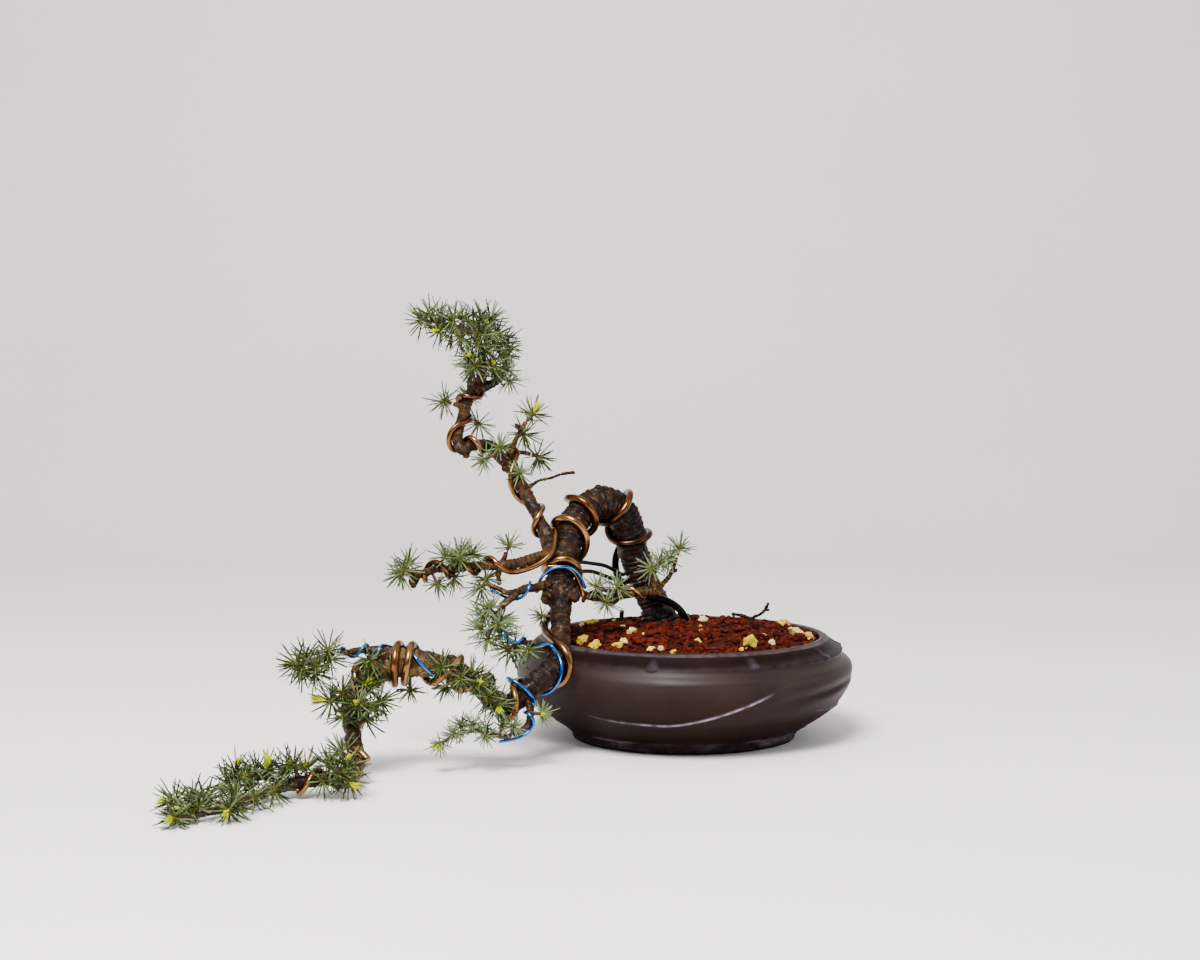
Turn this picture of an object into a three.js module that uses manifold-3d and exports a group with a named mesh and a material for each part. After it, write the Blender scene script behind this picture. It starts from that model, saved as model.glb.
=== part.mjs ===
// Blue atlas cedar bonsai, trained as a cascade and wired, in a round unglazed drum pot.
// Millimetres, +Z up. The origin is the centre of the pot's foot, on the surface it stands on.
// -Y looks towards the viewer and +X to the right of the view.

import * as THREE from 'three';
import { mergeVertices } from 'three/addons/utils/BufferGeometryUtils.js';
import Module from 'manifold-3d';

const wasm = await Module();
wasm.setup();

// Pot, a drum form with a rolled-in rim.
const BELLY_RADIUS = 113;
const FOOT_RADIUS = 76;
const RIM_HEIGHT = 68.3;
const MOUTH_RADIUS = 91.2;
const DRAIN_COUNT = 3;
const DRAIN_RADIUS = 9;
const DRAIN_DISTANCE = 32;
const FLOOR_HEIGHT = 13;
const STUD_COUNT = 11;
const UPPER_STUDS = { start: -104, distance: 103, height: 62.2, size: 3.1, lean: 42 };
const LOWER_STUDS = { start: -88.4, distance: FOOT_RADIUS + 1, height: 6.2, size: 3.4, lean: -20 };

// Folds that sweep round the body: angles in degrees, heights and depths in millimetres.
const FOLD_COUNT = 4;
const FOLD_START = -128;
const FOLD_SPAN = 104;
const FOLD_DEPTH = 1.7;
const FOLD_FLAT_SPAN = 30;
const FOLD_LOWEST = 24;
const FOLD_DIP = 3.5;
const FOLD_CLIMB = 56;
const FOLD_CLIMB_SPAN = 70;
const FOLD_SOFT_SIDE = 13;
const FOLD_SHARP_SIDE = 1.6;
const POT_SEGMENTS = 36;

// A sheet of plastic mesh over all of the drain holes.
const SHEET_RADIUS = 46;
const SHEET_THICKNESS = 1.2;
const SHEET_OPENING = 4.6;
const SHEET_PITCH = 6.4;

// Soil, heaped above the rim.
const SOIL_RIM_HEIGHT = 65.5;
const SOIL_RISE = 10.5;
const SOIL_SEGMENTS = 16;
const SOIL_RINGS = 6;

// Wood, wire and needles.
const GAP = 0.35;
const TRUNK_WIRE = 2.5;
const CROWN_WIRE = 1.9;
const BRANCH_WIRE = 1.4;
const BLUE_WIRE = 1.05;
const TIE_WIRE = 0.8;
const NEEDLE_LENGTH = 14;
const TUFT_RADIUS = 1.2;
const SPUR_RADIUS = 0.75;
const SPUR_GAP = 0.25;
const CORE_SIDES = 4;
const BARE_SHARE = 0.2;
const FLOOR_CLEARANCE = 1.3;
const STEP_ANGLE = 45;
const LIMB_SIDES = { trunk: 8, crown: 6 };
const LIMB_STEP = 10;
const WIRE_SIDES = 5;
const SETTLE_ROUNDS = 30;
const SETTLE_GAP = 0.6;

const COLORS = {
  pot: 0x3a2e2a,
  mesh: 0x2b2d2c,
  soil: 0x6e2a1c,
  bark: 0x4a362b,
  copper: 0x8a5a34,
  blue: 0x1f6fc4,
  tie: 0x17161a,
  needles: 0x5d7468,
  deadwood: 0x2c2220,
};

const MATERIALS = {
  pot: new THREE.MeshStandardMaterial({ color: COLORS.pot, roughness: 0.55, metalness: 0 }),
  mesh: new THREE.MeshStandardMaterial({ color: COLORS.mesh, roughness: 0.6, metalness: 0 }),
  soil: new THREE.MeshStandardMaterial({ color: COLORS.soil, roughness: 0.95, metalness: 0 }),
  bark: new THREE.MeshStandardMaterial({ color: COLORS.bark, roughness: 0.75, metalness: 0 }),
  copper: new THREE.MeshStandardMaterial({ color: COLORS.copper, roughness: 0.35, metalness: 1 }),
  blue: new THREE.MeshStandardMaterial({ color: COLORS.blue, roughness: 0.3, metalness: 1 }),
  tie: new THREE.MeshStandardMaterial({ color: COLORS.tie, roughness: 0.5, metalness: 0 }),
  needles: new THREE.MeshStandardMaterial({ color: COLORS.needles, roughness: 0.6, metalness: 0 }),
  deadwood: new THREE.MeshStandardMaterial({ color: COLORS.deadwood, roughness: 0.9, metalness: 0 }),
};

// Limbs. Each point is x, y, z and the wood's radius there, from root to tip.
const LIMBS = {
  trunk: [
    [-13, 12, 48, 9], [-13, 12, 62, 12.5], [-15, 12, 73, 13.4], [-18, 12, 84, 11.2],
    [-24, 12, 97, 10.2], [-29, 10, 109, 10.2], [-34, 6, 123, 10.5], [-37, 2, 137, 10.8],
    [-42, -4, 150, 11.1], [-52, -10, 158, 11.4], [-62, -17, 157, 11], [-71, -24, 150, 10.6],
    [-76, -31, 140, 9.9], [-79, -38, 127, 9.5], [-82, -46, 113, 9.2], [-83, -53, 103, 11.1],
    [-82, -60, 93, 7.5], [-82, -67, 83, 6.9], [-82, -78, 72, 6.4], [-84, -90, 63, 7.6],
    [-90, -99, 56, 8.2], [-97, -104, 51, 8.2], [-104, -108, 45, 7.2], [-113, -112, 40, 6.6],
    [-122, -115, 42, 6.9], [-130, -118, 50, 6.8], [-138, -121, 57, 6.8], [-146, -124, 62, 6.8],
    [-155, -127, 65, 7.4], [-164, -130, 68, 8.6], [-173, -131, 68, 9.2], [-182, -131, 68, 9.5],
    [-192, -130, 64, 9.2], [-201, -129, 57, 8], [-208, -129, 48, 7.1], [-210, -131, 40, 6.8],
    [-209, -138, 32, 5.8], [-206, -149, 24, 4.9], [-203, -161, 16, 4.5], [-202, -174, 11, 4.2],
    [-205, -186, 10.2, 4.1], [-212, -195, 10, 4.1], [-222, -201, 10, 4.1], [-232, -205, 9.4, 4],
    [-241, -209, 8, 3.8], [-249, -214, 6.2, 3.4], [-254, -224, 5, 3], [-257, -233, 4.8, 2.8],
    [-260, -239, 4.6, 2.6], [-265, -245, 4.4, 2.5], [-270, -255, 4.3, 2.3], [-275, -261, 4.2, 2.2],
  ],
  crown: [
    [-83, -36, 125, 5.3], [-89, -38, 130, 5.6], [-92, -36, 139, 5.3], [-96, -31, 147, 4.1],
    [-101, -26, 156, 4.4], [-106, -20, 165, 4.7], [-111, -14, 173, 4.4], [-115, -9, 181, 4.4],
    [-121, -6, 186, 4.4], [-126, -6, 191, 4.3], [-131, -9, 196, 4], [-137, -14, 197, 4],
    [-144, -19, 196, 4], [-148, -21, 194, 4.1], [-151, -19, 200, 4], [-151, -14, 207, 3.7],
    [-148, -8, 216, 4], [-146, -4, 225, 4.4], [-143, -3, 231, 4.4], [-138, -5, 237, 4],
    [-135, -8, 243, 3.3], [-135, -10, 251, 2.9], [-135, -11, 257, 2.7], [-137, -12, 264, 2.5],
    [-140, -12, 269, 2.2],
  ],
  crownLoop: [
    [-137, -4, 235, 3.6], [-130, 0, 237, 3.1], [-125, 5, 240, 2.8], [-122, 10, 244, 2.6],
    [-120, 13, 250, 2.4], [-123, 13, 257, 2.2], [-126, 11, 262, 2],
  ],
  crownRight: [
    [-118, -6, 185, 2.7], [-116, -8, 192, 2.1], [-114, -10, 197, 1.8], [-112, -12, 202, 1.7],
    [-109, -14, 207, 1.6], [-106, -16, 212, 1.5],
  ],
  crownOut: [[-118, -6, 189, 2.7], [-113, -3, 191, 2], [-108, 0, 191, 1.7], [-104, 3, 190, 1.6]],
  crownLeft: [[-148, -6, 221, 2.3], [-151, -10, 223, 1.8], [-154, -12, 224, 1.5]],
  bareTwig: [
    [-107, -18, 167, 1.8], [-102, -15, 170, 1.4], [-97, -10, 173, 1.2], [-90, -4, 174, 1.1],
    [-84, 2, 176, 1.1], [-78, 6, 177, 1.2], [-74, 8, 177, 1.5],
  ],
  left: [
    [-84, -42, 127, 3.9], [-92, -50, 127, 3.6], [-101, -57, 125, 3.6], [-110, -63, 123, 3.6],
    [-118, -67, 122, 3.5], [-127, -69, 122, 3.2], [-136, -70, 122, 3.1], [-145, -72, 121, 3],
    [-153, -75, 120, 2.9], [-161, -79, 121, 2.7], [-167, -83, 119, 2.9], [-173, -86, 118, 3.2],
    [-176, -88, 119, 2.8],
  ],
  leftUpright: [[-120, -67, 122, 1.9], [-118, -66, 127, 1.6], [-117, -65, 130, 1.4]],
  leftSpur: [[-121, -68, 122, 2.1], [-122, -69, 115, 1.8], [-121, -70, 110, 1.5]],
  leftKnob: [[-174, -87, 118, 2.4], [-175, -88, 113, 2.8], [-175, -88, 110, 1.7]],
  side: [
    [-85, -50, 109, 3.9], [-92, -58, 108, 3.4], [-99, -63, 107, 3], [-104, -67, 107, 2.9],
    [-109, -70, 105, 2.7], [-114, -73, 101, 2.6], [-118, -76, 98, 2.4], [-121, -78, 95, 2.2],
  ],
  sideLeft: [[-109, -70, 105, 2], [-116, -73, 105, 1.8], [-122, -75, 108, 1.7], [-127, -76, 110, 1.6]],
  lower: [
    [-85, -84, 69, 2.6], [-92, -90, 73, 2.2], [-98, -93, 75, 1.9], [-103, -95, 76, 1.8],
    [-108, -96, 76, 1.8],
  ],
  right: [
    [-81, -46, 110, 3.3], [-75, -47, 106, 3], [-68, -45, 101, 2.8], [-61, -41, 98, 2.7],
    [-54, -36, 97, 2.6], [-46, -31, 97, 2.6], [-38, -25, 98, 2.8], [-31, -20, 99, 3.3],
    [-24, -16, 99, 3.5], [-18, -13, 99, 2.5],
  ],
  rightUpright: [[-20, -14, 98, 2.6], [-20, -15, 105, 2.1], [-20, -16, 110, 1.8]],
  rightOuter: [
    [-20, -14, 98, 2.6], [-14, -9, 104, 1.9], [-10, -6, 108, 1.7], [-7, -3, 114, 1.6],
    [-5, -1, 120, 1.4],
  ],
  low: [
    [-103, -108, 45, 3.4], [-101, -113, 40, 2.8], [-100, -117, 35, 2.5], [-101, -121, 29, 2.2],
    [-105, -124, 25, 2], [-110, -126, 23, 1.8],
  ],
  upper: [
    [-187, -132, 72, 5], [-192, -134, 76, 3.4], [-198, -136, 77, 2.6], [-205, -138, 77, 2.3],
    [-211, -139, 76, 2.2], [-217, -140, 76, 2],
  ],
};

// Cut stubs and knobs on the wood, each from inside the limb to its end.
const STUBS = [
  [[-57, -14, 162, 3], [-58, -14, 170, 2.2]],
  [[-115, -9, 180, 3], [-122, -9, 181, 1.6]],
  [[-146, -20, 194, 3], [-145, -21, 189, 1.8]],
  [[-109, -14, 206, 1.4], [-113, -13, 211, 1.1]],
  [[-149, -125, 64, 4], [-148, -126, 72, 3]],
  [[-78, -57, 104, 4], [-71, -60, 99, 3.4]],
  [[-88, -56, 103, 5], [-93, -58, 97, 3.4]],
  [[-115, -113, 40, 4], [-118, -116, 31, 1.2]],
  [[-8, -4, 112, 1.4], [-5, -6, 112, 1.1]],
];

// Foliage sprays. A spray grows on a core of its own, from the cut end of the limb that
// carries it, or stands on that limb as a short spur. Tufts are the points its needles
// radiate from; buds are pale new shoots, each from a tuft to its tip, with a radius.
const SPRAYS = {
  crown_tip: {
    core: [[-141.6, -12, 270.6, 2], [-145, -11, 273, 2], [-152, -8, 275, 1.9], [-159, -5, 277, 1.7],
      [-166, -2, 279, 1.5], [-173, 0, 279, 1.2]],
    tufts: [[-176, 1, 280], [-163, -13, 273], [-164, 4, 283], [-154, -14, 280], [-156, 6, 272],
      [-147, -3, 281], [-149, -19, 268]],
    buds: [[-163, -13, 273, -167, -18, 272, 1.3]],
  },
  crown_loop: {
    core: [[-126.6, 10.5, 264, 1.8], [-129, 8, 268, 1.7], [-132, 5, 272, 1.5], [-134, 2, 276, 1.2]],
    tufts: [[-137, 0, 282], [-130, 7, 280], [-125, 2, 271]],
    buds: [[-134, 2, 277, -132, -4, 279, 1.9]],
  },
  crown_front: {
    carrier: 'crown',
    core: [[-138, -15, 256, 1.3], [-142, -18, 255, 1.1]],
    tufts: [[-144, -19, 256], [-139, -21, 249]],
    buds: [[-144, -19, 256, -143, -25, 257, 1.4]],
  },
  crown_loop_top: { carrier: 'crownLoop', tufts: [[-118, 16, 261]] },
  crown_loop_low: { carrier: 'crownLoop', tufts: [[-117, 7, 239]] },
  crown_middle: {
    carrier: 'crown', tufts: [[-128, -13, 250]], buds: [[-128, -13, 250, -127, -18, 252, 1.4]],
  },
  crown_right: {
    core: [[-105, -16.7, 213.2, 1.4], [-102, -18, 216, 1.2]],
    tufts: [[-101, -18, 218]],
    buds: [[-101, -18, 218, -97, -20, 225, 1.6]],
  },
  crown_right_low: { carrier: 'crownRight', tufts: [[-107, -8, 204]] },
  crown_out: { core: [[-102.2, 3.8, 189.6, 1.4], [-99, 6, 188, 1.2]], tufts: [[-98, 7, 188]] },
  crown_left: { core: [[-155.6, -13, 224.6, 1.3], [-159, -15, 226, 1.2]], tufts: [[-161, -16, 226]] },
  crown_behind: {
    carrier: 'crown',
    core: [[-144, 3, 229, 1.3], [-145, 4, 237, 1.3], [-143, 1, 245, 1.1]],
    tufts: [[-142, -2, 248], [-146, 7, 228], [-139, 7, 238]],
  },
  crown_fork: {
    carrier: 'crown',
    core: [[-124, -16, 192, 1.3], [-128, -18, 190, 1.2], [-132, -18, 188, 1.1]],
    tufts: [[-134, -18, 188], [-123, -18, 196]],
  },
  crown_fork_front: { carrier: 'crown', tufts: [[-110, -20, 179]] },
  left_tip: {
    core: [[-178, -90, 119, 2], [-181, -92, 120, 1.6]],
    tufts: [[-178, -88, 126], [-184, -93, 119], [-180, -98, 122]],
  },
  left_tip_under: { carrier: 'left', tufts: [[-160, -82, 111]] },
  left_top: {
    carrier: 'left',
    core: [[-151, -78, 127, 1.5], [-147, -79, 129, 1.4], [-142, -79, 130, 1.2]],
    tufts: [[-155, -80, 129], [-147, -71, 131], [-138, -79, 130], [-146, -85, 128]],
  },
  left_under: { carrier: 'left', tufts: [[-150, -73, 114]] },
  left_upright: { core: [[-116.6, -64.8, 131.8, 1.3], [-115, -64, 134, 1.2]], tufts: [[-115, -64, 135]] },
  side_left: {
    core: [[-128.6, -76.4, 111, 1.5], [-131, -77, 111, 1.4]],
    tufts: [[-133, -79, 109], [-130, -70, 114]],
  },
  side_hanging: {
    core: [[-122, -79, 93, 1.9], [-124, -81, 89, 1.7], [-125, -83, 84, 1.5], [-127, -85, 80, 1.3]],
    tufts: [[-128, -84, 97], [-131, -76, 91], [-119, -74, 88], [-121, -91, 87], [-133, -83, 83],
      [-128, -87, 76], [-118, -84, 80]],
  },
  lower_twig: {
    core: [[-109.6, -96.4, 75.4, 1.5], [-111, -97, 74, 1.4], [-113, -98, 73, 1.2]],
    tufts: [[-115, -99, 72], [-110, -92, 71]],
  },
  lower_hanging: { carrier: 'lower', tufts: [[-102, -98, 71]] },
  trunk_side: { carrier: 'trunk', tufts: [[-95, -65, 89]] },
  right_middle: {
    carrier: 'right',
    core: [[-45, -34, 102, 1.5], [-50, -39, 102, 1.4], [-57, -43, 104, 1.2]],
    tufts: [[-60, -44, 106], [-52, -47, 95], [-45, -37, 105]],
  },
  right_upright: {
    core: [[-20, -16, 111.8, 1.6], [-19.6, -16, 115, 1.3]],
    tufts: [[-23, -19, 115], [-16, -14, 119]],
  },
  right_outer: { core: [[-4.4, -1, 122, 1.3], [-3, 0, 126, 1.1]], tufts: [[-3, 0, 127]] },
  right_outer_low: { carrier: 'rightOuter', tufts: [[-10, -9, 120]] },
  low_twig: {
    core: [[-112, -127, 22, 1.7], [-117, -128, 22, 1.6], [-125, -129, 24, 1.5], [-133, -130, 26, 1.4],
      [-142, -131, 25, 1.4], [-149, -132, 22, 1.2], [-154, -133, 19, 1.1]],
    tufts: [[-156, -134, 18], [-110, -130, 29], [-117, -130, 30], [-127, -123, 27],
      [-127, -137, 24], [-135, -132, 31], [-143, -125, 29],
      [-146, -138, 26]],
    buds: [[-154, -133, 19, -157, -139, 16, 1.6]],
  },
  low_right: {
    carrier: 'low',
    core: [[-97, -119, 35, 1.3], [-94, -121, 35, 1.2]],
    tufts: [[-92, -122, 35]],
    buds: [[-92, -122, 35, -92, -128, 36, 1.3]],
  },
  middle_front: {
    carrier: 'trunk',
    core: [[-143, -133, 62, 1.5], [-136, -136, 59, 1.5], [-130, -137, 55, 1.4], [-125, -135, 49, 1.3],
      [-121, -132, 44, 1.2]],
    tufts: [[-142, -142, 60], [-135, -131, 61], [-130, -143, 58], [-125, -142, 49], [-119, -136, 43]],
    buds: [[-130, -143, 58, -129, -148, 60, 1.3], [-119, -136, 43, -118, -143, 40, 2]],
  },
  middle_top: { carrier: 'trunk', tufts: [[-153, -139, 67]] },
  middle_hanging: { carrier: 'trunk', tufts: [[-152, -125, 52]] },
  arch_hanging: { carrier: 'trunk', tufts: [[-174, -127, 50]] },
  upper_left: {
    core: [[-219, -140.4, 75.8, 1.8], [-222, -141, 75, 1.7], [-228, -142, 73, 1.6], [-232, -143, 71, 1.5],
      [-236, -144, 70, 1.4], [-239, -145, 70, 1.2]],
    tufts: [[-222, -146, 79], [-222, -135, 71], [-229, -149, 69], [-237, -139, 74], [-242, -146, 70],
      [-237, -151, 66], [-231, -140, 63]],
    buds: [[-242, -146, 70, -249, -146, 71, 1.5]],
  },
  upper_back: { carrier: 'upper', tufts: [[-197, -142, 71]] },
  knee_left: {
    carrier: 'trunk',
    core: [[-212, -139, 45, 1.4], [-215, -142, 46, 1.3], [-219, -145, 47, 1.2]],
    tufts: [[-221, -147, 47], [-213, -149, 53], [-213, -149, 39]],
    buds: [[-221, -147, 47, -232, -147, 48, 1.7]],
  },
  knee_right: {
    carrier: 'trunk',
    core: [[-205, -141, 45, 1.4], [-202, -145, 46, 1.4], [-197, -148, 46, 1.2]],
    tufts: [[-203, -153, 47], [-196, -150, 44], [-200, -142, 56], [-190, -142, 47], [-199, -146, 37]],
    buds: [[-203, -153, 47, -204, -159, 49, 1.6], [-200, -142, 56, -196, -144, 61, 1.4]],
  },
  limb_front: { carrier: 'trunk', tufts: [[-212, -168, 20]] },
  ball: {
    carrier: 'trunk',
    core: [[-209, -198, 15, 1.4], [-209, -202, 16, 1.3], [-209, -206, 16, 1.2]],
    tufts: [[-209, -210, 16], [-215, -205, 20], [-203, -203, 20], [-217, -209, 11], [-202, -209, 11]],
    buds: [[-203, -203, 20, -202, -206, 26, 1.4], [-202, -209, 11, -196, -213, 8, 1.5]],
  },
  near_right: {
    carrier: 'trunk',
    core: [[-233, -205, 14, 1.4], [-234, -206, 18, 1.2]],
    tufts: [[-236, -208, 20], [-229, -201, 17], [-241, -200, 16]],
    buds: [[-229, -201, 17, -227, -204, 22, 1.3]],
  },
  near_left: {
    core: [[-246, -205, 10.6, 1.5], [-253, -205, 12, 1.5], [-260, -208, 12, 1.4], [-268, -210, 12, 1.2]],
    carrier: 'trunk',
    tufts: [[-250, -210, 18], [-257, -202, 15], [-262, -213, 15], [-269, -206, 17], [-273, -214, 11],
      [-259, -217, 9]],
    buds: [[-250, -210, 18, -249, -214, 28, 1.7], [-269, -206, 17, -267, -206, 24, 1.3],
      [-273, -214, 11, -276, -219, 8, 1.3]],
  },
  tail_right: { carrier: 'trunk', tufts: [[-243, -225, 9]] },
  tail_left: { carrier: 'trunk', tufts: [[-266, -231, 9]] },
  tail_middle: { carrier: 'trunk', tufts: [[-251, -241, 9]] },
  tail_side: {
    carrier: 'trunk',
    core: [[-271, -245, 6, 1.4], [-278, -245, 6, 1.4], [-286, -244, 6, 1.3], [-295, -244, 6, 1.1]],
    tufts: [[-279, -248, 10], [-287, -240, 9], [-298, -244, 7]],
    buds: [[-298, -244, 7, -306, -245, 7, 1.5]],
  },
  tail_front: {
    carrier: 'trunk',
    core: [[-266, -259, 5.5, 1.3], [-263, -265, 6, 1.1]],
    tufts: [[-262, -268, 7], [-260, -260, 9]],
    buds: [[-262, -268, 7, -263, -276, 6, 1.5]],
  },
  tail_tip: {
    core: [[-277, -263, 4, 2], [-281, -268, 4, 1.8], [-286, -273, 4, 1.5], [-289, -279, 4, 1.2]],
    tufts: [[-279, -268, 9], [-286, -270, 8], [-290, -281, 6]],
    buds: [[-290, -281, 6, -292, -289, 6, 1.6], [-286, -270, 8, -292, -272, 9, 1.2]],
  },
};

// Wires. A coil's stations are the place along its limb, counted in the limb's points, the
// angle round the limb, and how far the wire stands off the bark there. Angle 0 faces the
// viewer and 90 is the right-hand side of the direction of growth.
const TRUNK_COIL = [
  [3.75, 0, 0], [4.25, -55, 3], [4.8, -88, 4.4], [5.6, -96, 4.4], [6.2, -130, 1], [6.5, -180, 0],
  [6.85, -270, 0.8], [6.75, -360, 0], [7.2, -450, 3.4], [7.9, -540, 0], [8.5, -630, 1],
  [8.5, -720, 0], [9.0, -815, 0], [9.8, -900, 0], [10.9, -990, 3.6], [10.5, -1080, 0],
  [11.2, -1170, 0], [11.7, -1260, 0], [12.0, -1350, 4], [11.6, -1440, 0], [12.6, -1530, 0.4],
  [13.3, -1620, 0], [14.05, -1700, 2.4], [13.3, -1790, 1], [13.85, -1885, 0.6], [14.9, -1980, 0],
  [17.2, -2070, 3], [18.7, -2160, 0], [19.6, -2250, 0], [20.5, -2340, 0], [22.3, -2430, 2.6],
  [22.7, -2520, 0], [23.2, -2610, 0], [24.1, -2700, 0], [25.4, -2790, 1.4], [25.9, -2880, 0],
  [26.4, -2970, 0], [26.9, -3060, 0], [27.5, -3150, 1], [27.9, -3240, 0], [28.4, -3330, 0],
  [29.2, -3420, 0], [30.0, -3510, 2.4], [30.15, -3600, 2.2], [30.5, -3690, 0], [30.6, -3780, 0],
  [31.0, -3870, 2.2], [31.2, -3960, 0.6], [31.7, -4050, 0], [32.1, -4140, 0], [32.7, -4230, 0.8],
  [33.5, -4320, 0], [34.6, -4410, 0], [35.7, -4500, 0], [37.0, -4590, 0.6], [38.0, -4680, 0],
  [38.7, -4750, 0],
];
const CROWN_COIL = [
  [1.1, 20, 0.8], [1.45, 90, 1.6], [2.0, 180, 0.4], [2.3, 270, 0], [3.0, 360, 0], [3.8, 450, 1],
  [4.4, 540, 0], [5.1, 630, 0.6], [6.0, 650, 0.6], [6.6, 720, 0], [7.4, 795, 0], [8.4, 825, 0],
  [9.4, 905, 0], [10.6, 990, 0], [11.5, 1080, 0], [12.2, 1170, 0], [12.7, 1260, 0],
  [13.3, 1350, 0.4], [14.1, 1365, 1], [14.7, 1385, 0.6], [15.3, 1440, 0], [15.9, 1530, 0],
  [16.6, 1620, 0], [17.3, 1710, 0.4], [17.7, 1800, 0], [18.1, 1890, 0.4], [18.5, 1930, 0.2],
];
const LEFT_COIL = [
  [10.6, 1080, 0], [10.3, 990, 0.4], [9.9, 900, 0], [9.1, 812, 2.6], [8.4, 720, 0], [8.0, 630, 0],
  [7.6, 540, 0], [7.2, 450, 0], [6.7, 360, 0], [6.2, 270, 0], [5.6, 180, 0], [5.1, 90, 0.6],
  [4.7, 0, 0], [4.1, -60, 0], [3, -80, 0], [2, -60, 0], [1.2, -30, 1],
];
const RIGHT_ANCHOR = [[13.9, 50, 2.8], [13.75, 0, 0], [14.0, -75, 0.4]];
const RIGHT_COIL = [
  [1.3, -80, 0.5], [1.9, 0, 0], [2.4, 90, 0], [2.8, 180, 0], [3.2, 270, 0], [3.6, 360, 0],
  [4.2, 450, 0.4], [5.2, 470, 1.4], [5.8, 540, 0], [6.1, 630, 0], [6.5, 720, 0], [7.3, 805, 2.2],
  [8.1, 880, 1], [8.5, 930, 0],
];
const LOW_COIL = [
  [39.5, 450, 0.2], [40.0, 360, 0], [40.5, 270, 0], [41.2, 180, 0], [42.1, 90, 0.4], [42.6, 0, 0],
  [43.2, -80, 0],
];
const BLUE_ACROSS = [
  [14.6, -95, 4.4], [14.1, -60, 4.2], [13.9, -15, 4.4], [14.1, 20, 4.4], [14.4, 48, 4.6],
  [14.75, 66, 3],
];
const BLUE_SIDE = [[1.5, -80, 0.8], [2.0, -180, 0], [2.5, -270, 0], [3.0, -345, 0], [3.6, -420, 0.6]];
const BLUE_SIDE_LEFT = [[0.9, -90, 0], [1.5, -90, 0], [2.2, -70, 0], [2.8, -40, 0]];
const BLUE_LOWER = [[3.9, -30, 0.4], [3.3, 60, 0], [2.9, 180, 0], [2.5, 290, 0], [2.0, 350, 0.4]];
const BLUE_TRUNK = [
  [18.5, 55, 0.3], [19.3, 0, 0.3], [20.2, -70, 0], [20.9, -115, 0], [21.5, -180, 0],
  [22.3, -262, 7.8], [22.2, -310, 6.4], [21.9, -360, 0.2], [22.0, -425, 0],
];
const BLUE_LOW = [
  [1.5, -180, 0], [1.9, -270, 0], [2.3, -360, 0], [2.7, -440, 0], [3.4, -450, 0], [4.2, -450, 0],
  [4.9, -440, 0],
];
const BLUE_ARCH = [
  [28.4, -30, 0], [29.1, -8, 0], [29.6, 16, 0], [30.1, 50, 0], [30.6, 90, 0], [31.0, 130, 0],
];
const BLUE_UPPER = [
  [1.0, 110, 0.6], [1.25, 60, 0.8], [1.4, 0, 0.4], [1.65, -90, 0], [1.85, -180, 0], [2.05, -270, 0],
  [2.9, -360, 0], [3.7, -450, 0], [4.2, -540, 0], [4.6, -630, 0], [4.9, -720, 0],
];

const TIE_NEAR_END = [[5.2, -150, 0], [5.15, -120, 0], [5.1, -92, 0.6]];
const TIE_BEND = [[13.15, -110, 0], [13.2, -150, 0], [13.35, -185, 0], [13.55, -150, 0], [13.6, -110, 0]];
const TIE_FAR_END = [[4.7, -92, 0.6], [4.65, -120, 0], [4.6, -150, 0]];

const rad = THREE.MathUtils.degToRad;
const lerp = THREE.MathUtils.lerp;
const clamp01 = (v) => Math.min(Math.max(v, 0), 1);

// A small seeded generator, so that every run grows the same tree.
function seededRandom(seed) {
  let state = seed >>> 0;
  return () => {
    state = (Math.imul(state, 1664525) + 1013904223) >>> 0;
    return state / 4294967296;
  };
}

// Solids and meshes.
function toSolid(geometry) {
  const bare = geometry.clone();
  bare.deleteAttribute('normal');
  bare.deleteAttribute('uv');
  const merged = mergeVertices(bare, 1e-4);
  return new wasm.Manifold(new wasm.Mesh({
    numProp: 3,
    vertProperties: new Float32Array(merged.attributes.position.array),
    triVerts: new Uint32Array(merged.index.array),
  }));
}

function toGeometry(solid) {
  const data = solid.getMesh();
  const geometry = new THREE.BufferGeometry();
  geometry.setAttribute('position', new THREE.BufferAttribute(new Float32Array(data.vertProperties), 3));
  geometry.setIndex(new THREE.BufferAttribute(new Uint32Array(data.triVerts), 1));
  geometry.computeVertexNormals();
  return geometry;
}

function fuse(geometries) {
  return geometries.map(toSolid).reduce((whole, next) => whole.add(next));
}

// Fusing can leave a crumb that nothing holds; only the body itself is kept.
function largestBody(solid) {
  const bodies = solid.decompose();
  return bodies.reduce((best, body) => (body.volume() > best.volume() ? body : best));
}

function indexedGeometry(vertices, faces) {
  const geometry = new THREE.BufferGeometry();
  geometry.setAttribute('position', new THREE.Float32BufferAttribute(vertices.flat(), 3));
  geometry.setIndex(faces.flat());
  return geometry;
}

// A limb as a smooth curve with a radius, read at a place counted in its own points.
function limbCurve(points) {
  const places = points.map(([x, y, z]) => new THREE.Vector3(x, y, z));
  const radii = points.map((point) => new THREE.Vector3(point[3], 0, 0));
  const line = new THREE.CatmullRomCurve3(places, false, 'catmullrom', 0.5);
  const girth = new THREE.CatmullRomCurve3(radii, false, 'catmullrom', 0.5);
  const last = points.length - 1;
  return {
    last,
    at: (u) => line.getPoint(clamp01(u / last)),
    radius: (u) => girth.getPoint(clamp01(u / last)).x,
    direction: (u) => line.getTangent(clamp01(u / last)),
  };
}

function sampleLimb(curve, step) {
  const samples = [];
  for (let i = 0; i < curve.last; i += 1) {
    const length = curve.at(i).distanceTo(curve.at(i + 1));
    const parts = Math.max(1, Math.round(length / step));
    for (let k = 0; k < parts; k += 1) {
      const u = i + k / parts;
      samples.push({ u, at: curve.at(u), radius: curve.radius(u) });
    }
  }
  samples.push({ u: curve.last, at: curve.at(curve.last), radius: curve.radius(curve.last) });
  return samples;
}

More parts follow.
